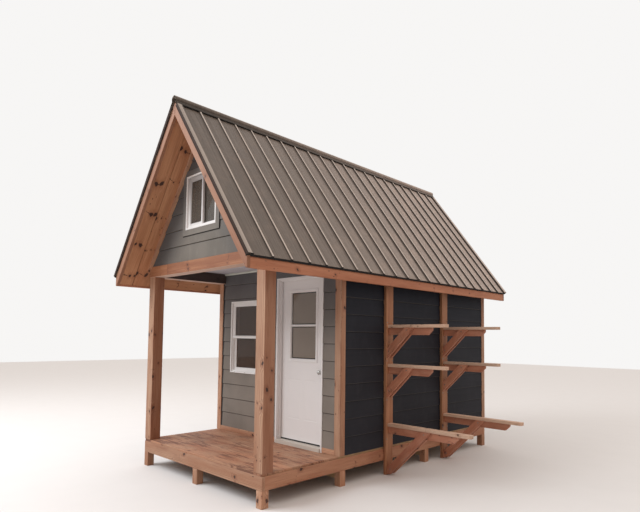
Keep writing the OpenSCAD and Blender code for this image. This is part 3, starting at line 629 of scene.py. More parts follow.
# Corner boards by whether they stand on the left, and at the front.
corners = {(low[0] < middle, low[1] < 0): (low, high) for low, high in map(extent, solids("corner_boards"))}
leg_left, _, corner_top = corners[True, True][1]
leg_right = corners[False, True][0][0]
leg_front = corners[False, True][1][1]
leg_rear = corners[False, False][0][1]

# The pitch comes from the upper edge of the front right rake board. One step down the slope goes
# RUN sideways and RISE down.
rake, = [outline for outline, _, _, end in laid_over("rake_boards", 1)
         if end < 0 and outline[:, 0].mean() > middle]
rake_top = rake[rake[:, 1].argmax()]
rake_out = rake[np.lexsort((rake[:, 1], rake[:, 0]))[-1]]
PITCH = math.atan2(rake_top[1] - rake_out[1], rake_out[0] - rake_top[0])
RUN, RISE, STEEP = math.cos(PITCH), math.sin(PITCH), math.tan(PITCH)
apex_z = rake_top[1] + (rake_top[0] - middle) * STEEP


def slope_z(away, depth=0.0):
    """Height of the roof plane at a distance from the middle, at a depth square to the slope."""
    return apex_z - abs(away) * STEEP - depth / RUN


def slope_away(z, depth=0.0):
    """Distance from the middle at which the roof plane has this height."""
    return (apex_z - depth / RUN - z) / STEEP


def lap_shade_and_wear(place, colour, shelter=None):
    """Painted shade and dirt in the top of each course, under the butt of the next, and its own butt
    worn paler. High up, under the shelter of the roof, the paint is darkened towards blue as painted shade."""
    course = place.attribute("course")
    if shelter is None:
        shelter = place.attribute("shelter").ramp(*SHELTERED)
    kept = colour.node("Mix", {"data_type": "RGBA", "blend_type": "MULTIPLY"},
                       {0: 1.0, 6: colour, 7: (*SHELTER_SHADE_TINT, 1)}, 2)
    colour = shelter.between(colour, kept)
    colour = (course.ramp(*LAP_SHADE) * SHADE_AND_SEAM_SHARE).between(colour, LAP_CREASE_SHADE)
    return (course.ramp(*BUTT_BAND) * BUTT_WEAR).between(colour, BUTT_WORN)


def corner_shadow(place, colour):
    """The lap boards, and a painted shadow down the siding beside the proud left corner board."""
    joint = place.parts()[0].ramp(leg_left + CORNER_SHADOW_WIDE, leg_left + CORNER_SHADOW_CORE) * CORNER_SHADOW_DARK
    return joint.between(lap_shade_and_wear(place, colour), LAP_SHADOW)


def gable_shade(place, colour):
    """On a gable the painted shade grows with nearness to the roof: |x| and the depth below the peak,
    turned by the pitch, give the distance square to the nearer slope. A painted shadow runs round
    the window's trim, where the greater of the distances beyond its sides is small."""
    x, y, z = place.parts()
    away = (x - middle).math("ABSOLUTE", x - middle)
    under = (apex_z - z) * RUN - away * RISE
    beside = (window_trim_low.x - x).most(x - window_trim_high.x)
    over = (window_trim_low.z - z).most(z - window_trim_high.z)
    outside = beside.most(over)
    near_trim = outside.ramp(TRIM_SHADOW + TRIM_SHADOW_SOFT, TRIM_SHADOW - TRIM_SHADOW_SOFT)
    trim_shadow_share = near_trim * outside.ramp(*TRIM_SHADOW_FROM) * TRIM_SHADOW_DARK
    return trim_shadow_share.between(lap_shade_and_wear(place, colour, under.ramp(*GABLE_SHELTER)), LAP_SHADOW)


def line(low, high, at_low, at_high):
    """A straight edge of a wall: its place along the wall at two heights."""
    return (low, high), (at_low, at_high)


def upright(place):
    return line(0, FAR, place, place)


def crossing(edge, place):
    """The height at which a sloping edge of a wall reaches a place along it."""
    heights, places = (np.array(pair) for pair in edge)
    order = np.argsort(places)
    return np.interp(place, places[order], heights[order])


def lap_strip(left, right, low, high, foot):
    """A piece of one lap board between two heights. Its section is square at the back and slants
    from the butt to the tip over the course, and its ends follow the two lines."""
    heights = np.array([low, low + LAP_ROUND, high] if low == foot else [low, high])
    slant = LAP_BUTT + (LAP_TIP - LAP_BUTT) * (heights - foot) / LAP
    if low == foot:
        slant[0] -= LAP_ROUND
    back = low + (LAP_UNDERCUT if low == foot else 0)
    section = np.concatenate([[[0, back]], np.stack([slant, heights], 1), [[0, high]]])
    ends = [np.column_stack([np.interp(section[:, 1], *side), section]) for side in (left, right)]
    return np.concatenate(ends), rings_to_faces(2, len(section)), np.tile((section[:, 1] - foot) / LAP, 2)


def lap_boards(name, slot, face, low, high, left, right, holes, material):
    """Courses of lap boards on a wall's face, which is its origin and its ways along and outward. Holes
    are (from, to, foot, top) in distances along the wall and heights: a course is cut level with them,
    and each strip ends on both sides of a hole."""
    parts = []
    for foot in np.arange(low, high, LAP):
        top = min(foot + LAP, high)
        cuts = [z for hole in holes for z in (*hole[2:], crossing(left, hole[0]), crossing(right, hole[1]))]
        levels = sorted({foot, top, *(z for z in cuts if foot < z < top)})
        for a, b in zip(levels[:-1], levels[1:]):
            blocked = sorted(hole for hole in holes if hole[2] < b and hole[3] > a)
            starts = [left, *(line(a, b, hole[1], hole[1]) for hole in blocked)]
            ends = [*(line(a, b, hole[0], hole[0]) for hole in blocked), right]
            parts += [lap_strip(start, end, a, b, foot) for start, end in zip(starts, ends)
                      if np.interp((a + b) / 2, *end) - np.interp((a + b) / 2, *start) > SHORTEST]
    origin, *ways = face
    wall = np.array([*ways, (0, 0, 1)])
    # Each point carries its share of its course and of the wall's height, for the painted shade.
    boards = join_mesh(name, [(points @ wall + origin, faces) for points, faces, _ in parts], material, {
        "course": np.concatenate([course for _, _, course in parts]),
        "shelter": np.concatenate([(points[:, 2] - low) / (high - low) for points, _, _ in parts])})
    fasten(boards, slot)


def hole(node):
    """A CAD node's extent along the front wall and in height, as a hole in its boards."""
    low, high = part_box(node)
    return low.x, high.x, low.z, high.z


gable_depth = EDGE_BOARD + STRIP_T + TRIM_GAP
gable_top = slope_z(GABLE_CUT, gable_depth)
half_w = beam_high.x - middle


def gable_lines(low):
    """The two sloping edges of a gable's boards, from a height up to the peak."""
    at_low = min(slope_away(low, gable_depth), half_w)
    at_top = slope_away(gable_top, gable_depth)
    return [line(low, gable_top, middle + side * at_low, middle + side * at_top) for side in (-1, 1)]


grey_dirt, dark_dirt = ((0.25, 0.22, 0.19), 0.3), ((0.04, 0.039, 0.046), 0.25)
# The gable has the siding's paint, made darker as painted shade.
grey_paint, gable_paint, dark_paint = (
    paint(name, colour, 0.12, 0.66, wood_grain=0.5, dirt=dirt, direction=(0.03, 0.03, 1), stain=stain,
          gloss=gloss)
    for name, colour, dirt, stain, gloss in (
        ("siding_paint", (0.214, 0.183, 0.157), grey_dirt, corner_shadow, 0.3),
        ("gable_paint", (0.170, 0.150, 0.128), grey_dirt, gable_shade, 0.3),
        ("dark_siding_paint", (0.020, 0.020, 0.026), dark_dirt, lap_shade_and_wear, 0.2)))

FRONT, GABLE, REAR = (((0, y, 0), (1, 0, 0), (0, way, 0)) for y, way in (
    (front_low.y, -1), (gable_low.y, -1), (rear_high.y, 1)))
RIGHT, LEFT = (((x, 0, 0), (0, 1, 0), (way, 0, 0)) for x, way in ((side_high.x, 1), (side_low.x, -1)))
foot_trim_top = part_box("base_trim")[1].z
side_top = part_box("eave_soffits")[1].z - BELOW_SOFFIT
eave_level = slope_z(half_w, gable_depth)
# Holes are where something else stands: the openings, the side beams in the upper corners of the
# front wall, the corner boards at the ends of the other walls up to their top, and the rack planks.
front_holes = [hole("front_window_frame"), hole("door_frame"),
               (-FAR, beam_low.x + BEAM_WIDE, beam_low.z, FAR),
               (beam_high.x - BEAM_WIDE, FAR, beam_low.z, FAR)]
rear_holes = [(-FAR, leg_left, 0, corner_top), (leg_right, FAR, 0, corner_top)]
side_holes = [(-FAR, leg_front, 0, corner_top), (leg_rear, FAR, 0, corner_top),
              (-FAR, side_low.y - PAST_CORNER, corner_top, FAR)]
rack_holes = [(points[:, 1].min(), points[:, 1].max(), 0, FAR) for points in solids("rack_posts")]
side_lines = upright(leg_front), upright(rear_high.y)
for row in (
        ("front_wall_boards", "grey_siding", FRONT, foot_trim_top, front_high.z,
         upright(leg_left), upright(leg_right), front_holes, grey_paint),
        ("gable_boards", "grey_siding", GABLE, gable_low.z, gable_top, *gable_lines(gable_low.z),
         [hole("gable_window_trim")], gable_paint),
        ("right_wall_boards", "dark_siding", RIGHT, side_low.z, side_top, *side_lines,
         side_holes + rack_holes, dark_paint),
        ("left_wall_boards", "dark_siding", LEFT, side_low.z, side_top, *side_lines, side_holes, dark_paint),
        ("rear_wall_boards", "dark_siding", REAR, rear_low.z, eave_level,
         upright(middle - half_w), upright(middle + half_w), rear_holes, dark_paint),
        ("rear_gable_boards", "dark_siding", REAR, eave_level, gable_top, *gable_lines(eave_level),
         [], dark_paint)):
    lap_boards(*row)


# Inside, the walls are lined with level boards with a dark seam between them, the same on all
# sides, so that the open door shows a plain wooden room.
SEAM = 0.024
GRAIN_APART = 7
PITH_NEAR, PITH_SPREAD = 0.03, 0.2
SEAM_DARK = (0.05, 0.03, 0.02)
LINING = (0.46, 0.32, 0.19), (0.38, 0.25, 0.14), (0.26, 0.15, 0.08), (0.09, 0.05, 0.03)


def set_material(node, material):
    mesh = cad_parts[node].data
    mesh.materials.clear()
    mesh.materials.append(material)


def board_lay(place, along, across):
    """Grain along the boards, and a tone for each board that is counted across them."""
    pick = (across / BOARD_WIDE).floor().pick()
    return place.vector(along + pick * GRAIN_APART, across, pick * PITH_SPREAD + PITH_NEAR), pick * 2 - 1


def lining_lay(place):
    x, y, z = place.parts()
    return board_lay(place, x + y, z)


def seams(rise):
    """A stain of dark lines between boards, near every whole multiple of what each rises."""
    def stain(place, grain, colour):
        share = place.parts()[2] / rise
        return ((share - share.floor()).ramp(SEAM, 0) * SHADE_AND_SEAM_SHARE).between(colour, SEAM_DARK)
    return stain


lining = wood("wall_lining", *LINING, stain=seams(BOARD_WIDE), lay=lining_lay)
for node in ("front_wall_left", "front_wall_header", "front_wall_right", "side_walls", "rear_wall",
             "gable_wall"):
    set_material(node, lining)


# Cedar boards close the corners of the room, two to a corner, one lapped over the edge of the
# other, and a narrow cedar board runs along the foot of the front wall.
pairs = []
for points in solids("corner_boards"):
    low, high = extent(points)
    thickness = min(np.diff(np.unique(points[:, 0].round(4))))
    front = low[1] < 0
    face = (low[1], low[1] + thickness) if front else (high[1] - thickness, high[1])
    rest = (face[1] + TRIM_GAP, high[1]) if front else (low[1], face[0] - TRIM_GAP)
    side = (low[0], low[0] + thickness) if low[0] < middle else (high[0] - thickness, high[0])
    pairs += [(rectangle(*across, *deep), 2, low[2], high[2])
              for across, deep in (((low[0], high[0]), face), (side, rest))]
fasten(lumber("corner_trim", pairs, cedar, 51, FINE_EASE), "stained_cedar", "corner_boards")
timber("foot_trim", "base_trim", 1, cedar, 52, ease=FINE_EASE)


# The windows are of white vinyl with clear panes: a sash window in the front wall and a slider
# in the gable, which has painted boards round it. Every frame is mitred at its corners.
FRAME_FACE = 0.019
FRAME_SHELF = 0.0385
SHELF_DROP = 0.0215
SASH_STILE = 0.034
FIXED_BEAD = 0.017
SASH_FACE = 0.010
BEAD = 0.008
VINYL_EDGE = 0.003
SHARP_EASE = 0.001
VINYL = (0.86, 0.84, 0.83)
# Painted shade darkens the frames in their recesses: fully in the gable, little in the front, and not at the
# lit foot.
VINYL_RECESS_SHADE = (0.28, 0.255, 0.255)
RECESS_SHADE_MOST = 0.75
TRACK_DEPTH = 0.016
LIT_FOOT = 0.060
FRONT_RECESS_SHADE, GABLE_RECESS_SHADE = 0.1, 1.0
GLASS_IOR = 1.45
WINDOW_ALPHA = 0.6
FILM_ROUGH, WINDOW_ROUGH = 0.03, 0.02
LOW_FILM = (0.060, 0.026, 0.012), (0.085, 0.050, 0.034)
HIGH_FILM = (0.085, 0.072, 0.060), (0.170, 0.150, 0.130)


def plain(name, colour, rough, bump=0.1, scale=90.0, variation=0.03, stain=None, **constants):
    """A smooth made surface: faint broad tones and a very fine unevenness."""
    material, place = start_material(name)
    broad = place.noise(2.5, 3)
    fine = place.noise(scale, 2)
    tint = broad.between(*shades(colour, variation))
    if stain is not None:
        tint = stain(place, tint)
    return end_material(material, place, tint, fine * 0.08 + rough, fine * bump, 0.0005, **constants)


def round_frame(low, high, profile):
    """A moulding carried round an upright rectangle in x and z, mitred at the corners. Each point of
    its profile is a distance in from the rectangle's edge and a place in y."""
    inward, y = np.asarray(profile, float).T
    x = np.stack([low[0] + inward, high[0] - inward, high[0] - inward, low[0] + inward], 1)
    z = np.stack([low[1] + inward, low[1] + inward, high[1] - inward, high[1] - inward], 1)
    points = np.stack([x, np.broadcast_to(y[:, None], x.shape), z], -1).reshape(-1, 3)
    ring, corner = np.meshgrid(np.arange(len(y)), np.arange(4), indexing="ij")
    ring_after, corner_after = (ring + 1) % len(y), (corner + 1) % 4
    quads = np.stack([ring * 4 + corner, ring * 4 + corner_after,
                      ring_after * 4 + corner_after, ring_after * 4 + corner], -1)
    return points, quads.reshape(-1, 4).tolist()


def block(low, high, ease=SHARP_EASE):
    """A small block with eased edges between two corners."""
    return board(rectangle(low[0], high[0], low[1], high[1]), 2, low[2], high[2], ease)


def window_parts(low, high, panes):
    """The outer frame, stepped down to a shelf, and a sash round each pane with a bevelled bead. A pane
    with no room for a stile under it is fixed, in a narrow bead."""
    face, back = low.y, high.y
    shelf, track = face + SHELF_DROP, (face + back) / 2
    parts = [round_frame((low.x, low.z), (high.x, high.z), [
        (0, back), (0, face + VINYL_EDGE), (VINYL_EDGE, face), (FRAME_FACE - VINYL_EDGE / 2, face),
        (FRAME_FACE, face + VINYL_EDGE / 2), (FRAME_FACE, shelf), (FRAME_SHELF - VINYL_EDGE / 2, shelf),
        (FRAME_SHELF, shelf + VINYL_EDGE / 2), (FRAME_SHELF, track), (FRAME_SHELF + 3 * VINYL_EDGE, track),
        (FRAME_SHELF + 3 * VINYL_EDGE, back)])]
    for near, far in map(extent, panes):
        stile = SASH_STILE if near[2] - low.z > FRAME_SHELF + SASH_STILE * 0.7 else FIXED_BEAD
        front, rear = near[1] - SASH_FACE, far[1] + SASH_FACE
        parts.append(round_frame((near[0] - stile, near[2] - stile), (far[0] + stile, far[2] + stile), [
            (0, rear), (0, front), (stile - BEAD, front), (stile + VINYL_EDGE, near[1]),
            (stile + VINYL_EDGE, far[1]), (stile - BEAD, rear)]))
    return parts


def recess_shading(parts, low):
    """How much painted shade each point gets: 0 on the face to 1 at TRACK_DEPTH behind it, but 0 at the
    frame's foot, which is lit."""
    points = np.concatenate([points for points, _ in parts])
    behind = (points[:, 1] - low.y - VINYL_EDGE) / TRACK_DEPTH
    above = (points[:, 2] - low.z - LIT_FOOT) / TRACK_DEPTH
    return np.clip(behind, 0, 1) * np.clip(above, 0, 1)


# Painted shade in the frames' recesses.
def recess_shade(place, colour):
    return (place.attribute("dull") * RECESS_SHADE_MOST).between(colour, VINYL_RECESS_SHADE)


vinyl = plain("white_vinyl", VINYL, 0.36, stain=recess_shade)
window_low, window_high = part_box("front_window_frame")
slider_low, slider_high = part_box("gable_window_frame")
front_panes = [pane for pane in solids("window_glass") if pane[:, 2].max() < window_high.z]
gable_panes = [pane for pane in solids("window_glass") if pane[:, 2].min() > slider_low.z]
for name, low, high, panes, shade_share in (
        ("front_window", window_low, window_high, front_panes, FRONT_RECESS_SHADE),
        ("gable_window", slider_low, slider_high, gable_panes, GABLE_RECESS_SHADE)):
    parts = window_parts(low, high, panes)
    window = join_mesh(name, parts, vinyl, {"dull": recess_shading(parts, low) * shade_share})
    fasten(window, "white_vinyl", name + "_frame")
set_material("gable_window_trim", gable_paint)

material, place = start_material("window_glass")
film = place.noise(1.3, 3)
in_gable = place.parts()[2].ramp(window_high.z, slider_low.z)
tint = in_gable.between(film.between(*LOW_FILM), film.between(*HIGH_FILM))
set_material("window_glass", end_material(material, place, tint, film * FILM_ROUGH + WINDOW_ROUGH,
                                          Alpha=WINDOW_ALPHA, IOR=GLASS_IOR))


# The front window has a moulded vinyl cam lock on its meeting rail, and three small weep slots
# in the foot of its frame, which are dark openings.
LOCK_LONG, LOCK_HIGH, LOCK_DEEP = 0.052, 0.014, 0.020
WEEPS_FROM_LEFT = (0.10, 0.335, 0.57)
WEEP_PROUD = 0.0004
WEEP = np.array([0.022, 0.003, 0.004])
meeting = min(pane[:, 2].max() for pane in front_panes) + SASH_STILE
inner_sash = max(pane[:, 1].max() for pane in front_panes)
lock_x = (window_low.x + window_high.x) / 2
# The lock is a base on the meeting rail, and a shorter lever on top of it.
lock = join_mesh("sash_lock", [
    block((lock_x - LOCK_LONG / 2, inner_sash - LOCK_DEEP, meeting),
          (lock_x + LOCK_LONG / 2, inner_sash, meeting + LOCK_HIGH / 2), TINY_EASE),
    block((lock_x - LOCK_LONG / 6, inner_sash - LOCK_DEEP * 1.2, meeting + LOCK_HIGH / 2),
          (lock_x + LOCK_LONG / 5, inner_sash - LOCK_DEEP / 4, meeting + LOCK_HIGH), TINY_EASE)], vinyl)
feet = [np.array([window_low.x + x, window_low.y - WEEP_PROUD, window_low.z + FRAME_FACE / 2])
        for x in WEEPS_FROM_LEFT]
weeps = join_mesh("weep_slots", [block(foot, foot + WEEP) for foot in feet],
                  plain("weep_shadow", (0.05, 0.05, 0.05), 0.6))
for piece in (lock, weeps):
    fasten(piece, "white_vinyl")


# The door is a white painted steel leaf with two pressed panels under its glass, in a white
# timber frame. Its glass is held by a moulded frame on both faces, with a painted shadow round
# the inside of each pane, and a black rubber sweep closes the gap over the sill.
PANEL_LINES = np.array([0, 0.004, 0.008, 0.013, 0.020, 0.028])
PANEL_DEPTHS = np.array([0, 0.0010, 0.0016, 0.0014, 0.0006, 0.0004])
PANEL_LOW, PANEL_HIGH = 0.270, 0.772
PANEL_GAP = 0.076
LEAF_EDGE = 0.002
LITE_EDGE = 0.044
LITE_MIDDLE = 0.004
LITE_SECTION = np.array([
    (0, 0, -0.001), (0, 0, 0.003), (0.004, 0, 0.004), (0.006, 1, 0), (0.026, 1, 0), (0.034, 1, -0.003),
    (0.042, 0, -0.004), (LITE_EDGE, 2, 0), (0.026, 2, 0), (0.024, 0, -0.001)])
BAR_LOW, BAR_HIGH = 1.825, 1.853
BAR_SINK, BAR_SLANT, BAR_RISE = 0.004, 0.008, 0.006
BAR_END = 0.040
SWEEP_SHORT, SWEEP_PROUD, SWEEP_HIGH = 0.006, 0.001, 0.011
# A painted shadow round the inside of each pane, next to its frame and the bar.
PANE_SHADOW, PANE_SHADOW_CORE = 0.013, 0.0091
PANE_SHADOW_COLOUR = (0.030, 0.028, 0.028)
DOOR_FILM = (0.20, 0.158, 0.125), (0.30, 0.245, 0.200)
DOOR_ALPHA, DOOR_GLASS_ROUGH = 0.8, 0.03


def slab(front, back, keep):
    """A shell between two grids of points. Cells outside the mask are left open, and every edge that
    only one kept cell has gets a quad from the front grid to the back."""
    rows, columns = front.shape[:2]
    row, column = np.nonzero(keep)
    corner = row * columns + column
    quads = np.stack([corner, corner + 1, corner + columns + 1, corner + columns], -1)
    starts, ends = quads.ravel(), np.roll(quads, -1, axis=1).ravel()
    count = rows * columns
    alone = ~np.isin(starts * count + ends, ends * count + starts)
    starts, ends = starts[alone], ends[alone]
    rims = np.stack([ends, starts, starts + count, ends + count], -1)
    used, faces = np.unique(np.concatenate([quads, quads[:, ::-1] + count, rims]), return_inverse=True)
    points = np.concatenate([front.reshape(-1, 3), back.reshape(-1, 3)])[used]
    return points, faces.reshape(-1, 4).tolist()


leaf_x, leaf_y, leaf_z = map(np.unique, solids("door_leaf")[0].T)
lite_low, lite_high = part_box("door_glass_frame")
door_middle = (lite_low.x + lite_high.x) / 2
panel_sides = [(lite_low.x, door_middle - PANEL_GAP / 2), (door_middle + PANEL_GAP / 2, lite_high.x)]
panel_z = leaf_z[0] + PANEL_LOW, leaf_z[0] + PANEL_HIGH


def pressed(x, z):
    """Depth of the pressing: a groove round each panel, as a function of the distance in from the
    nearest of its four sides, and 0 outside them."""
    depth = np.zeros(np.broadcast(x, z).shape)
    for x0, x1 in panel_sides:
        inside = np.minimum(np.minimum(x - x0, x1 - x), np.minimum(z - panel_z[0], panel_z[1] - z))
        depth += np.interp(inside, PANEL_LINES, PANEL_DEPTHS, left=0) * (inside > 0)
    return depth


def grid_lines(edges, panels):
    """Grid places: the leaf's own edges, eased at both ends, and the lines of every panel side."""
    return np.unique(np.concatenate([edges, [edges[0] + LEAF_EDGE, edges[-1] - LEAF_EDGE]] + [
        place + sign * PANEL_LINES for pair in panels for place, sign in zip(pair, (1, -1))]).round(5))


def at_ends(grid, edges):
    return (grid < edges[0] + LEAF_EDGE / 2) | (grid > edges[-1] - LEAF_EDGE / 2)


def between_lines(lines, edges):
    """Which cells of a grid have their middle between a leaf's inner edges, where its glass is."""
    middles = (lines[1:] + lines[:-1]) / 2
    return (middles > edges[1]) & (middles < edges[2])


x_lines, z_lines = grid_lines(leaf_x, panel_sides), grid_lines(leaf_z, [panel_z])
z_grid, x_grid = np.meshgrid(z_lines, x_lines, indexing="ij")
sunk = pressed(x_grid, z_grid) + (at_ends(x_grid, leaf_x) | at_ends(z_grid, leaf_z)) * LEAF_EDGE
in_hole = between_lines(z_lines, leaf_z)[:, None] & between_lines(x_lines, leaf_x)
faces = [np.stack([x_grid, y, z_grid], -1) for y in (leaf_y[0] + sunk, leaf_y[1] - sunk)]
white_paint = plain("white_paint", (0.78, 0.75, 0.745), 0.42)
leaf = join_mesh("door_slab", [slab(*faces, ~in_hole)], white_paint)

# Each row of the section is a point of the moulding: how far in it is from the edge, and how far
# out from the leaf (0), from the moulding's own face (1) or from the middle of the door (2).
lite_parts = []
for face, wall in ((lite_low.y, leaf_y[0]), (lite_high.y, leaf_y[1])):
    out = math.copysign(1, face - wall)
    bases = np.array([wall, face, leaf_y.mean() + out * LITE_MIDDLE])[LITE_SECTION[:, 1].astype(int)]
    profile = np.stack([LITE_SECTION[:, 0], bases + out * LITE_SECTION[:, 2]], 1)
    lite_parts.append(round_frame((lite_low.x, lite_low.z), (lite_high.x, lite_high.z), profile))
bar_y = [lite_low.y + BAR_SINK, lite_low.y + BAR_SINK + BAR_SLANT]
bar_y += [lite_high.y - BAR_SINK - BAR_SLANT, lite_high.y - BAR_SINK]
under = list(zip(bar_y, (BAR_LOW + BAR_RISE, BAR_LOW, BAR_LOW, BAR_LOW + BAR_RISE)))
over = list(zip(bar_y[::-1], (BAR_HIGH - BAR_RISE, BAR_HIGH, BAR_HIGH, BAR_HIGH - BAR_RISE)))
lite_parts.append(board(np.array(under + over), 0, lite_low.x + BAR_END, lite_high.x - BAR_END, SHARP_EASE))
lite = join_mesh("door_lite_frame", lite_parts, white_paint)

sill_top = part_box("door_sill")[1].z
sweep = join_mesh("door_sweep", [block(
    (leaf_x[0] + SWEEP_SHORT, leaf_y[0] - SWEEP_PROUD, sill_top + SWEEP_PROUD),
    (leaf_x[-1] - SWEEP_SHORT, leaf_y[1] + SWEEP_PROUD, leaf_z[0] + SWEEP_HIGH))],
    plain("rubber_sweep", (0.018, 0.017, 0.017), 0.7))
fasten(leaf, "white_paint", "door_leaf", body="door")
fasten(lite, "white_paint", "door_glass_frame", body="door")
fasten(sweep, "white_paint", body="door")

material, place = start_material("door_glass")
film = place.noise(1.1, 3)
x, _, z = place.parts()
inside = (x - (lite_low.x + LITE_EDGE)).least((lite_high.x - LITE_EDGE) - x)
inside = inside.least((z - (lite_low.z + LITE_EDGE)).least((lite_high.z - LITE_EDGE) - z))
off_bar = z.math("ABSOLUTE", z - (BAR_LOW + BAR_HIGH) / 2) - (BAR_HIGH - BAR_LOW) / 2
# Painted shadow next to the frame and the bar.
pane_shadow = inside.least(off_bar).ramp(PANE_SHADOW, PANE_SHADOW_CORE)
pane_glass = end_material(material, place, pane_shadow.between(film.between(*DOOR_FILM), PANE_SHADOW_COLOUR),
                          film * FILM_ROUGH + DOOR_GLASS_ROUGH, Alpha=DOOR_ALPHA, IOR=GLASS_IOR)
sill_paint = plain("sill_paint", (0.55, 0.49, 0.43), 0.45)
steel = plain("hinge_steel", (0.42, 0.42, 0.42), 0.35, Metallic=1.0)
nickel = plain("satin_nickel", (0.45, 0.44, 0.42), 0.30, Metallic=1.0)
for node, material in (("door_frame", white_paint), ("door_sill", sill_paint), ("door_hinges", steel),
                       ("door_hinge_leaves", steel), ("door_knobs", nickel), ("door_glass", pane_glass)):
    set_material(node, material)


# Rafters stand in pairs against a ridge board and carry sheets of boarding, with battens
# laid across on top for the metal.
SHEATHING = (0.52, 0.37, 0.22), (0.43, 0.29, 0.16), (0.30, 0.18, 0.09), (0.10, 0.05, 0.03)
RAFTER_SHIFT, RAFTER_PITH, RAFTER_TONES = 3.7, 0.05, 9.1
timber("ridge_timber", "ridge_board", 0, framing, 61, "framing_timber")
timber("batten_timber", "roof_battens", 1, framing, 62, "framing_timber", TINY_EASE)


def rafter_lay(place):
    """Grain down the slope, which on both sides is height over the sine of the pitch. Its start and
    its tone differ from rafter to rafter with the place along the roof."""
    _, y, z = place.parts()
    return place.vector(z / RISE + y * RAFTER_SHIFT, y, RAFTER_PITH), (y * RAFTER_TONES).sine()


def sheathing_lay(place):
    _, y, z = place.parts()
    return board_lay(place, y, z / RISE)


set_material("rafters", wood("rafter_timber", *FRAMING, streaks=0.25, lay=rafter_lay))
set_material("roof_boarding", wood("sheathing", *SHEATHING, stain=seams(BOARD_WIDE * RISE),
                                   lay=sheathing_lay))


# Cedar boards close the edges of the roof: a fascia along each eave, rake boards up both
# gables and knotty boards under the overhangs, two to a slope with a strip at the wall.
KNOTTY = (0.66, 0.330, 0.170), (0.54, 0.240, 0.115), (0.36, 0.135, 0.062), (0.055, 0.020, 0.012)
# The fascia's colours are darkened as painted shade from the roof's overhang.
FASCIA_SHADED = (0.54, 0.235, 0.130), (0.44, 0.172, 0.088), (0.27, 0.084, 0.040), (0.060, 0.022, 0.013)
RAKE = (0.34, 0.168, 0.098), (0.27, 0.118, 0.064), (0.17, 0.060, 0.030), (0.060, 0.022, 0.013)
SOFFIT_GROOVE = 0.005
FASCIA_DROP = 0.022
SOFFIT_DEPTHS = (0.0751, 0.0889)
STRIP_DEPTHS = (EDGE_BOARD, EDGE_BOARD + STRIP_T)
SOFFIT_STRIP = 0.060
PLANK = 0.038
rake_low, rake_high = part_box("rake_boards")
eave_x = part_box("eave_boards")[1].x - middle


def both_slopes(near, far, depths, y0, y1):
    """A board on each slope: its outline lies between two distances from the middle and two depths."""
    right = np.array([[middle + away, slope_z(away, depth)] for away, depth in (
        (near, depths[0]), (far, depths[0]), (far, depths[1]), (near, depths[1]))])
    return [(outline, 1, min(y0, y1), max(y0, y1)) for outline in (right, right * (-1, 1) + (2 * middle, 0))]


soffit_pieces = []
for start, end in ((rake_low.y + PLANK, gable_low.y), (rake_high.y - PLANK, rear_high.y)):
    centre = (start + end) / 2 + math.copysign(SOFFIT_STRIP / 4, start - end)
    groove = math.copysign(SOFFIT_GROOVE / 2, end - start)
    for y0, y1 in ((start, centre - groove), (centre + groove, end)):
        soffit_pieces += both_slopes(TRIM_GAP, eave_x - PLANK - TRIM_GAP, SOFFIT_DEPTHS, y0, y1)
strip_pieces = [piece for wall, way in ((gable_low.y, -1), (rear_high.y, 1))
                for piece in both_slopes(TRIM_GAP, half_w, STRIP_DEPTHS, wall, wall + way * SOFFIT_STRIP)]
fascia_pieces = [(outline - [0, FASCIA_DROP] * (outline[:, 1:] > outline[:, 1].mean()), *rest)
                 for outline, *rest in laid_over("eave_boards", 1)]
soffit_wood = wood("knotty_soffit", *KNOTTY, knot_size=0.031, whorl=0.44, arcs=0.9, gaps=0.12)
shaded_fascia_wood = wood("fascia_cedar", *FASCIA_SHADED, knot_size=0.018)
rake_wood = wood("rake_cedar", *RAKE, knot_size=0.014)
soffits = lumber("gable_soffit_boards", soffit_pieces, soffit_wood, 71, TINY_EASE)
fasten(soffits, "soffit_boards", "gable_soffits")
fasten(lumber("gable_soffit_strips", strip_pieces, cedar, 72, TINY_EASE), "stained_cedar")
timber("eave_soffit_boards", "eave_soffits", 1, soffit_wood, 73, "soffit_boards", TINY_EASE)
fasten(lumber("fascia_boards", fascia_pieces, shaded_fascia_wood, 74), "stained_cedar", "eave_boards")
timber("rake_timber", "rake_boards", 1, rake_wood, 75)


# The roof is of ribbed steel sheets with a baked grey-brown finish, screwed to the battens
# beside the ribs. The ribs are places on the frame's sheet; the shape between them is finer.
RIB_HEIGHT = 0.016
RIB_STEPS = np.array([-0.026, -0.022, -0.019, -0.0155, -0.012, -0.0085])
RIB_TOP, RIB_FOOT = 0.0085, 0.022
SWAGE_HEIGHT = 0.0016
SWAGE_HALF = 0.009
SWAGE_FLAT = 0.3
SHEET_T = 0.0012
SHEET_BASE = 0.0215
SLOPE_STEPS = 28
BUCKLE = 0.0005
BUCKLE_WAVES = (7.3, 2.1), (1.7, 11)
HAIR = 0.0005
# Painted highlights on the rib tops and painted shade at their feet, deeper towards the rear.
REARWARD_SHADE = (0.55, 0.85, 1.0)
RIB_HIGHLIGHT_AND_SHADE = (0.0, 0.02, 0.11, 0.15, 0.85, 0.95, 1.0), (0, 0, -0.2, -0.9, -0.9, 0.6, 1.0)
METAL_DARK, METAL_PALE = (0.140, 0.113, 0.093), (0.182, 0.151, 0.127)
# Towards the rear the metal is paler with dust and painted sheen.
METAL_DUST_AND_SHEEN = (0.60, 0.485, 0.420)
DUST_PATCHES, DUST_MORE, REAR_DUST_AND_SHEEN = 0.1, 0.2, 0.70
METAL_HIGHLIGHT = (0.70, 0.61, 0.54)
METAL_SHADE = (0.018, 0.013, 0.010)
METAL_ROUGH, DUST_ROUGH, GRIME_ROUGH = 0.40, 0.14, 0.3
HIGHLIGHT_SHARE = 0.9
METAL_GRIT, GRIT_DEEP = 0.2, 0.0003
FLECKS = 0.20


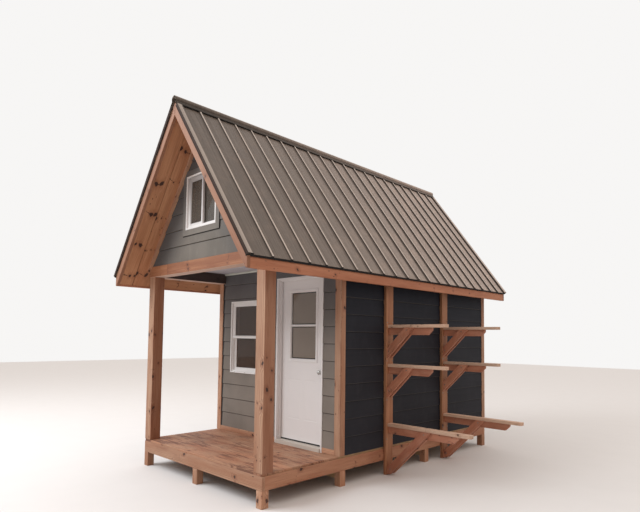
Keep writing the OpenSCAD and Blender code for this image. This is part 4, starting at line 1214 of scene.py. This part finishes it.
def down_slope(away, z):
    """Distance down the slope from the ridge, of a place this far from the middle and this high."""
    return away * RUN + (apex_z - z) * RISE


def smooth_step(value, low, high):
    share = np.clip((value - low) / (high - low), 0, 1)
    return share * share * (3 - 2 * share)


sheet_points = solids("metal_roofing")[0]
sheet_away = np.abs(sheet_points[:, 0] - middle)
lift = (sheet_points[:, 2] - slope_z(sheet_away)) * RUN
rib_ys = np.unique(sheet_points[lift > lift.max() - HAIR, 1].round(4)).reshape(-1, 2).mean(axis=1)
pans, pan_wide = (rib_ys[1:] + rib_ys[:-1]) / 2, np.diff(rib_ys)
sheet_y0, sheet_y1 = sheet_points[:, 1].min(), sheet_points[:, 1].max()
sheet_foot = down_slope(sheet_away, sheet_points[:, 2]).max()


def sheet_height(y):
    """Height of the sheet above the boarding: ribs that rise smoothly from foot to top, and two low
    swages a third of the way between ribs."""
    away = np.abs(y[:, None] - rib_ys).min(axis=1)
    ribs = RIB_HEIGHT * (1 - smooth_step(away, RIB_TOP, RIB_FOOT))
    place = np.abs(np.abs(y[:, None] - pans) - pan_wide / 6).min(axis=1)
    swages = SWAGE_HEIGHT * (1 - smooth_step(place, SWAGE_FLAT * SWAGE_HALF, SWAGE_HALF))
    return SHEET_BASE + ribs + swages


def slope_points(s, y, lift, side):
    """Points on one slope: s down it from the ridge, y along it and lift square to it."""
    s, y, lift = np.broadcast_arrays(s, y, lift)
    x, z = middle + side * (s * RUN + lift * RISE), apex_z - s * RISE + lift * RUN
    return np.stack([x, y, z], -1).reshape(-1, 3)


SWAGE_STEPS = SWAGE_HALF * np.array([-1.2, -0.9, -0.5, 0, 0.5, 0.9, 1.2])
thirds = np.concatenate([pans - pan_wide / 6, pans + pan_wide / 6])
sheet_ys = np.unique(np.concatenate([
    [sheet_y0, sheet_y1], (rib_ys[:, None] + np.concatenate([RIB_STEPS, -RIB_STEPS])).ravel(),
    (thirds[:, None] + SWAGE_STEPS).ravel(), pans]).round(5))
sheet_ys = sheet_ys[(sheet_ys >= sheet_y0) & (sheet_ys <= sheet_y1)]
s = np.linspace(0, sheet_foot, SLOPE_STEPS)[:, None]
waves = [np.sin(s * down + sheet_ys * along) for down, along in BUCKLE_WAVES]
lift = sheet_height(sheet_ys) + BUCKLE * waves[0] * waves[1]
# Each column gets a painted highlight on the rib tops and painted shade at the rib feet, deeper towards the
# rear.
dirt = np.interp(sheet_ys, [sheet_y0, (sheet_y0 + sheet_y1) / 2, sheet_y1], REARWARD_SHADE)
wear = np.interp((sheet_height(sheet_ys) - SHEET_BASE) / RIB_HEIGHT, *RIB_HIGHLIGHT_AND_SHADE)
wear = np.where(wear < 0, wear * dirt, wear)
# Painted shade darkens the front foot of each rib, the more the farther back it stands.
from_rib = sheet_ys - rib_ys[np.abs(sheet_ys[:, None] - rib_ys).argmin(axis=1)]
wear -= ((from_rib >= RIB_STEPS[0] - HAIR) & (from_rib <= RIB_STEPS[1] + HAIR)) * 2 * (dirt - dirt[0])


def coated_steel(name, grime_colour, gloss):
    """Dull coated steel: streaks down the slope, dust in patches and, towards the rear, more dust and a
    painted sheen, and an attribute that is 1 for a painted highlight and below 0 for painted shade."""
    material, place = start_material(name)
    wear = place.attribute("wear")
    streak = place.scaled(1.2, 40, 0.8).noise(1.0, 4, 0.6).ramp(0.35, 0.7)
    dust = place.noise(5.0, 5, 0.62).ramp(0.45, 0.75)
    grit = place.noise(160.0, 2)
    fleck = place.noise(38.0, 4, 0.75).ramp(0.38, 0.62)
    rearward = place.parts()[1].ramp(sheet_y0 * 1.1, sheet_y1)
    shade_mask = wear.ramp(0.0, -0.8)
    tint = streak.between(METAL_DARK, METAL_PALE)
    dust_and_sheen = dust * (rearward * DUST_MORE + DUST_PATCHES) + rearward * REAR_DUST_AND_SHEEN
    tint = dust_and_sheen.between(tint, METAL_DUST_AND_SHEEN)
    tint = tint.shaded((fleck * 2 - 1) * FLECKS * rearward + 1)
    tint = (wear.ramp(0.0, 1.0) * HIGHLIGHT_SHARE).between(tint, METAL_HIGHLIGHT)
    rough = dust * DUST_ROUGH + shade_mask * GRIME_ROUGH + METAL_ROUGH
    return end_material(material, place, shade_mask.between(tint, grime_colour), rough, grit * METAL_GRIT,
                        GRIT_DEEP, Specular_IOR_Level=gloss)


def slope_grid(lift, side):
    """The points of one slope as a grid, rows down the slope and columns along the roof."""
    return slope_points(s, sheet_ys, lift, side).reshape(len(s), -1, 3)


metal = coated_steel("roof_metal", METAL_SHADE, 0.2)
whole_sheet = np.ones((SLOPE_STEPS - 1, len(sheet_ys) - 1), bool)
sheets = join_mesh("roof_sheets", [slab(slope_grid(lift, side), slope_grid(lift - SHEET_T, side), whole_sheet)
                                   for side in (-1, 1)], metal, {"wear": np.tile(wear, 4 * SLOPE_STEPS)})
fasten(sheets, "roof_metal", "metal_roofing")


# Strips of black closed foam fill the ribs of the sheets at the eaves, where they lie on the
# fascia and reach down over its lowered top as a black band of painted shade, and under the
# flanges of the ridge cap.
CLOSURE_THICK = 0.012
CLOSURE_BACK = 0.0015
CLOSURE_IN = 0.008
CAP_LIFT = 0.0385
CAP_UNDER = 0.018
cap_low, cap_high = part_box("ridge_cap")
cap_foot = down_slope(cap_high.x - middle, cap_low.z)


def closure(s0, low, high, side):
    """A strip across the slope: its foot and top are functions of the place along the roof."""
    high = np.maximum(high, low + HAIR)
    s1 = s0 + CLOSURE_THICK
    heights = np.stack([low, low, high, high], 1)
    points = slope_points(np.array([s0, s1, s1, s0]), sheet_ys[:, None], heights, side)
    return points, rings_to_faces(len(sheet_ys), 4)


under_sheet = sheet_height(sheet_ys) - SHEET_T - CLOSURE_BACK
over_sheet = sheet_height(sheet_ys) + BUCKLE + HAIR
# The eave strips reach down to the lowered top of the fascia, a black band of painted shade.
fascia_top = np.full(len(sheet_ys), -FASCIA_DROP * RUN)
under_cap = np.full(len(sheet_ys), CAP_LIFT - CLOSURE_BACK)
foam = plain("closure_foam", (0.012, 0.011, 0.011), 0.85)
closures = join_mesh("rib_closures", [strip for side in (-1, 1) for strip in (
    closure(eave_x / RUN - CLOSURE_IN, fascia_top, under_sheet, side),
    closure(cap_foot - CAP_UNDER, over_sheet, under_cap, side))], foam)
fasten(closures, "roof_trim_metal")


# Folded angles cap the sheets over the rake boards, and a rolled cap covers the ridge.
# Both are bent from the same coated steel as the sheets. Each row of a bend is a point of
# its section and its painted light there: above 0 a painted highlight, below 0 painted shade.
TRIM_T = 0.0012
TRIM_LAP = 0.004
# The front leg of each angle gets painted shade and its top flange a painted highlight.
TRIM_SHADE = (0.030, 0.014, 0.009)
TRIM_BEND = np.array([
    (0.0035, 0.006, -0.8), (0.0030, -0.003, -0.9), (0, -0.003, -0.9), (0, 0.003, -0.8), (0, 0.030, -0.7),
    (0, 0.039, -0.8), (0.001, 0.040, 0.45), (0.047, 0.040, 0.62), (0.053, 0.040, 0.1), (0.061, 0.040, 0),
    (0.067, 0.039, -0.3), (0.068, 0.036, -0.9)])
RIGHT_FACE_LIGHTER = {3: -0.75, 4: -0.60}
ROLL_R = 0.0455
ROLL_SINK = 0.036
ROLL_STEPS = 9
CAP_RINGS = 9
# The cap's flanges get painted shade, and the top of its roll a painted highlight.
FLANGE_BEND = np.array([
    (0.008, -0.0020, -0.9), (0, -0.0010, -0.9), (0.001, 0.0006, -0.8), (0.008, 0.0010, -0.55)])
ROLL_TURNS = (0.7, 0.95, 1.2, 1.35)
ROLL_LIGHT_AND_SHADE = (-0.4, 0.2, 0.85, 0.9, -0.3)


def bent(path):
    """The outline of a bent sheet: a path, and its way back, mitred at the sheet's thickness to its left."""
    normals = left_normals(np.diff(path, axis=0))
    shift = mitre(np.concatenate([normals[:1], normals]), np.concatenate([normals, normals[-1:]]), TRIM_T)
    return np.concatenate([path, (path + shift)[::-1]])


trim_outline = bent(TRIM_BEND[::-1, :2])
trim_ends = np.array([cap_foot - TRIM_LAP, sheet_foot])[:, None]
trim_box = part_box("roof_edge_trims")
trim_parts, trim_light_and_shade = [], []
for edge, way in ((trim_box[0].y, 1), (trim_box[1].y, -1)):
    for side in (-1, 1):
        points = slope_points(trim_ends, edge + way * trim_outline[:, 0], trim_outline[:, 1], side)
        trim_parts.append((points, rings_to_faces(2, len(trim_outline))))
        values = TRIM_BEND[:, 2].copy()
        # The outer face, rows 3 and 4 of the bend, has less painted shade on the right.
        if side > 0:
            values[list(RIGHT_FACE_LIGHTER)] = list(RIGHT_FACE_LIGHTER.values())
        trim_light_and_shade.append(np.tile(np.concatenate([values[::-1], values]), 2))
trim_metal = coated_steel("trim_metal", TRIM_SHADE, 0.15)
trims = join_mesh("rake_edge_trims", trim_parts, trim_metal, {"wear": np.concatenate(trim_light_and_shade)})
fasten(trims, "roof_trim_metal", "roof_edge_trims")

# The roll is an arc about a centre that lies straight under the meeting of the two flanges. It
# starts where its circle crosses a flange: near is the centre's distance from the flange, and
# reach is half of the chord there.
near = ROLL_SINK * RUN
reach = math.sqrt(ROLL_R ** 2 - near ** 2)
meet = math.atan2(near * RUN - reach * RISE, near * RISE + reach * RUN)
turns = np.linspace(meet, math.pi / 2, ROLL_STEPS)
roll_z = slope_z(0, -CAP_LIFT) - ROLL_SINK
roll = np.stack([ROLL_R * np.cos(turns), roll_z + ROLL_R * np.sin(turns)], 1)
flange_s, flange_lift = cap_foot - FLANGE_BEND[:, 0], CAP_LIFT + FLANGE_BEND[:, 1]
flange = slope_points(flange_s, 0, flange_lift, 1)[:, ::2] - (middle, 0)
half_cap = np.concatenate([flange, roll])
half_light_and_shade = np.concatenate([FLANGE_BEND[:, 2], np.interp(turns, [meet, *ROLL_TURNS], ROLL_LIGHT_AND_SHADE)])
cap_outline = bent(np.concatenate([half_cap, (half_cap * (-1, 1))[-2::-1]]))
cap_light_and_shade = np.concatenate([half_light_and_shade, half_light_and_shade[-2::-1]])
cap_points = np.concatenate([raise_to(cap_outline + (middle, 0), 1, y)
                             for y in np.linspace(cap_low.y, cap_high.y, CAP_RINGS)])
cap = join_mesh("folded_ridge_cap", [(cap_points, rings_to_faces(CAP_RINGS, len(cap_outline)))], metal,
                {"wear": np.tile(np.concatenate([cap_light_and_shade, cap_light_and_shade[::-1]]), CAP_RINGS)})
fasten(cap, "roof_metal", "ridge_cap")


# The sheets are held by painted steel hex screws, each in one piece with its washer, beside the
# ribs on every batten below the ridge cap.
HEX = 6
SCREW_BESIDE = 0.034
SCREW_RADII = np.array([0.0080, 0.0080, 0.0046, 0.0046])
SCREW_HEIGHTS = np.array([-0.0005, 0.0018, 0.0018, 0.0068])


def hex_screws(name, slot, screws, material):
    """A screw for each row of a centre, a normal and a direction: rings of six points, each at a radius
    from the normal and a height on it."""
    centres, normals, alongs = np.array(screws, float).transpose(1, 0, 2)
    turns = np.arange(HEX) * math.tau / HEX
    local = np.stack([np.outer(SCREW_RADII, np.cos(turns)), np.outer(SCREW_RADII, np.sin(turns)),
                      np.repeat(SCREW_HEIGHTS[:, None], HEX, axis=1)], -1).reshape(-1, 3)
    frames = np.stack([alongs, np.cross(normals, alongs), normals], 1)
    faces = rings_to_faces(len(SCREW_RADII), HEX)
    fasten(join_mesh(name, [(group, faces) for group in centres[:, None] + local @ frames], material), slot)


batten_s = [np.mean(down_slope(points[:, 0] - middle, points[:, 2]))
            for points in solids("roof_battens") if points[:, 0].min() > middle]
screw_s, screw_y = np.meshgrid(batten_s[1:], rib_ys[1:-1] + SCREW_BESIDE, indexing="ij")
hex_screws("roof_screws", "roof_metal", [
    (centre, (side * RISE, 0, RUN), (0, 1, 0)) for side in (-1, 1)
    for centre in slope_points(screw_s, screw_y, SHEET_BASE, side)],
    plain("painted_screws", (0.16, 0.135, 0.115), 0.4))


# The racks hang on planks that run up the wall. Each arm stands on edge between two red
# stained braces, and carries a flat pale rest with a rounded end.
HATCH_PITCH = 0.011
SAW_PALE = (0.72, 0.47, 0.34)
SAW_SHOWS = 0.35
REST_ROUND = 0.024
REST_STEPS = 5
RED = (0.58, 0.250, 0.150), (0.45, 0.170, 0.098), (0.26, 0.085, 0.048), (0.07, 0.025, 0.015)
PALE = (0.70, 0.49, 0.36), (0.62, 0.40, 0.28), (0.42, 0.23, 0.15), (0.14, 0.07, 0.04)


def sawn(place, grain, colour):
    """Pale slanting marks of a band saw, where broad noise lets them show."""
    along, across, through = grain.parts()
    slant = along + across * 0.8 + through * 0.5
    mark = (slant * (2 * math.pi / HATCH_PITCH)).sine().ramp(0.2, 0.9)
    shown = grain.scaled(6, 14, 14).noise(1.0, 3).ramp(0.42, 0.62)
    return (mark * shown * SAW_SHOWS).between(colour, SAW_PALE)


def rounded_rest(points):
    """A rest seen from above: square at the wall, and its two free corners rounded on quarter circles."""
    (x0, y0, z0), (x1, y1, z1) = extent(points)
    turns = np.linspace(0, math.pi / 2, REST_STEPS)
    arc = REST_ROUND * np.stack([np.sin(turns), 1 - np.cos(turns)], 1)
    near = np.array([x1 - REST_ROUND, y0]) + arc
    far = np.array([x1 - REST_ROUND, y1]) + (arc * (1, -1))[::-1]
    return np.concatenate([[[x0, y0]], near, far, [[x0, y1]]]), 2, z0, z1


red_wood = wood("red_timber", *RED, stain=sawn)
pale_wood = wood("pale_timber", *PALE)
for node, pieces, material, slot, seed in (
        ("rack_posts", laid_over("rack_posts", 0), red_cedar, "stained_cedar", 81),
        ("rack_arms", laid_over("rack_arms", 1), red_wood, "red_timber", 82),
        ("rack_rests", map(rounded_rest, solids("rack_rests")), pale_wood, "pale_timber", 83),
        ("rack_braces", laid_over("rack_braces", 1), red_wood, "red_timber", 84)):
    fasten(lumber(node + "_timber", pieces, material, seed, FINE_EASE), slot, node)


# Each brace is held by a structural screw with a washer head at its foot and at its top, and
# the planks are held to the wall by pairs of them.
SCREW_IN = 0.085
PLANK_SCREWS = 5
PLANK_SCREW_LOW, PLANK_SCREW_HIGH, PLANK_SCREW_SIDE = 0.1, 0.12, 0.012
screws = []
arm_ys = np.array([points[:, 1].mean() for points in solids("rack_arms")])
for outline, _, low_y, high_y in laid_over("rack_braces", 1):
    brace_y = (low_y + high_y) / 2
    out = math.copysign(1, brace_y - arm_ys[np.abs(arm_ys - brace_y).argmin()])
    lean, _ = longest_side(outline)
    centre = outline.mean(axis=0)
    reach = (outline - centre) @ lean
    for place in (reach.min() + SCREW_IN, reach.max() - SCREW_IN):
        x, z = centre + place * lean
        screws.append(((x, high_y if out > 0 else low_y, z), (0, out, 0), (1, 0, 0)))
screw_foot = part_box("corner_boards")[0].z + PLANK_SCREW_LOW
for low, high in map(extent, solids("rack_posts")):
    screws += [((high[0], y, z), (1, 0, 0), (0, 1, 0))
               for z in np.linspace(screw_foot, high[2] - PLANK_SCREW_HIGH, PLANK_SCREWS)
               for y in (low[1] + PLANK_SCREW_SIDE, high[1] - PLANK_SCREW_SIDE)]
hex_screws("rack_screws", "hinge_steel", screws, plain("zinc_screws", (0.30, 0.29, 0.27), 0.42, Metallic=1.0))
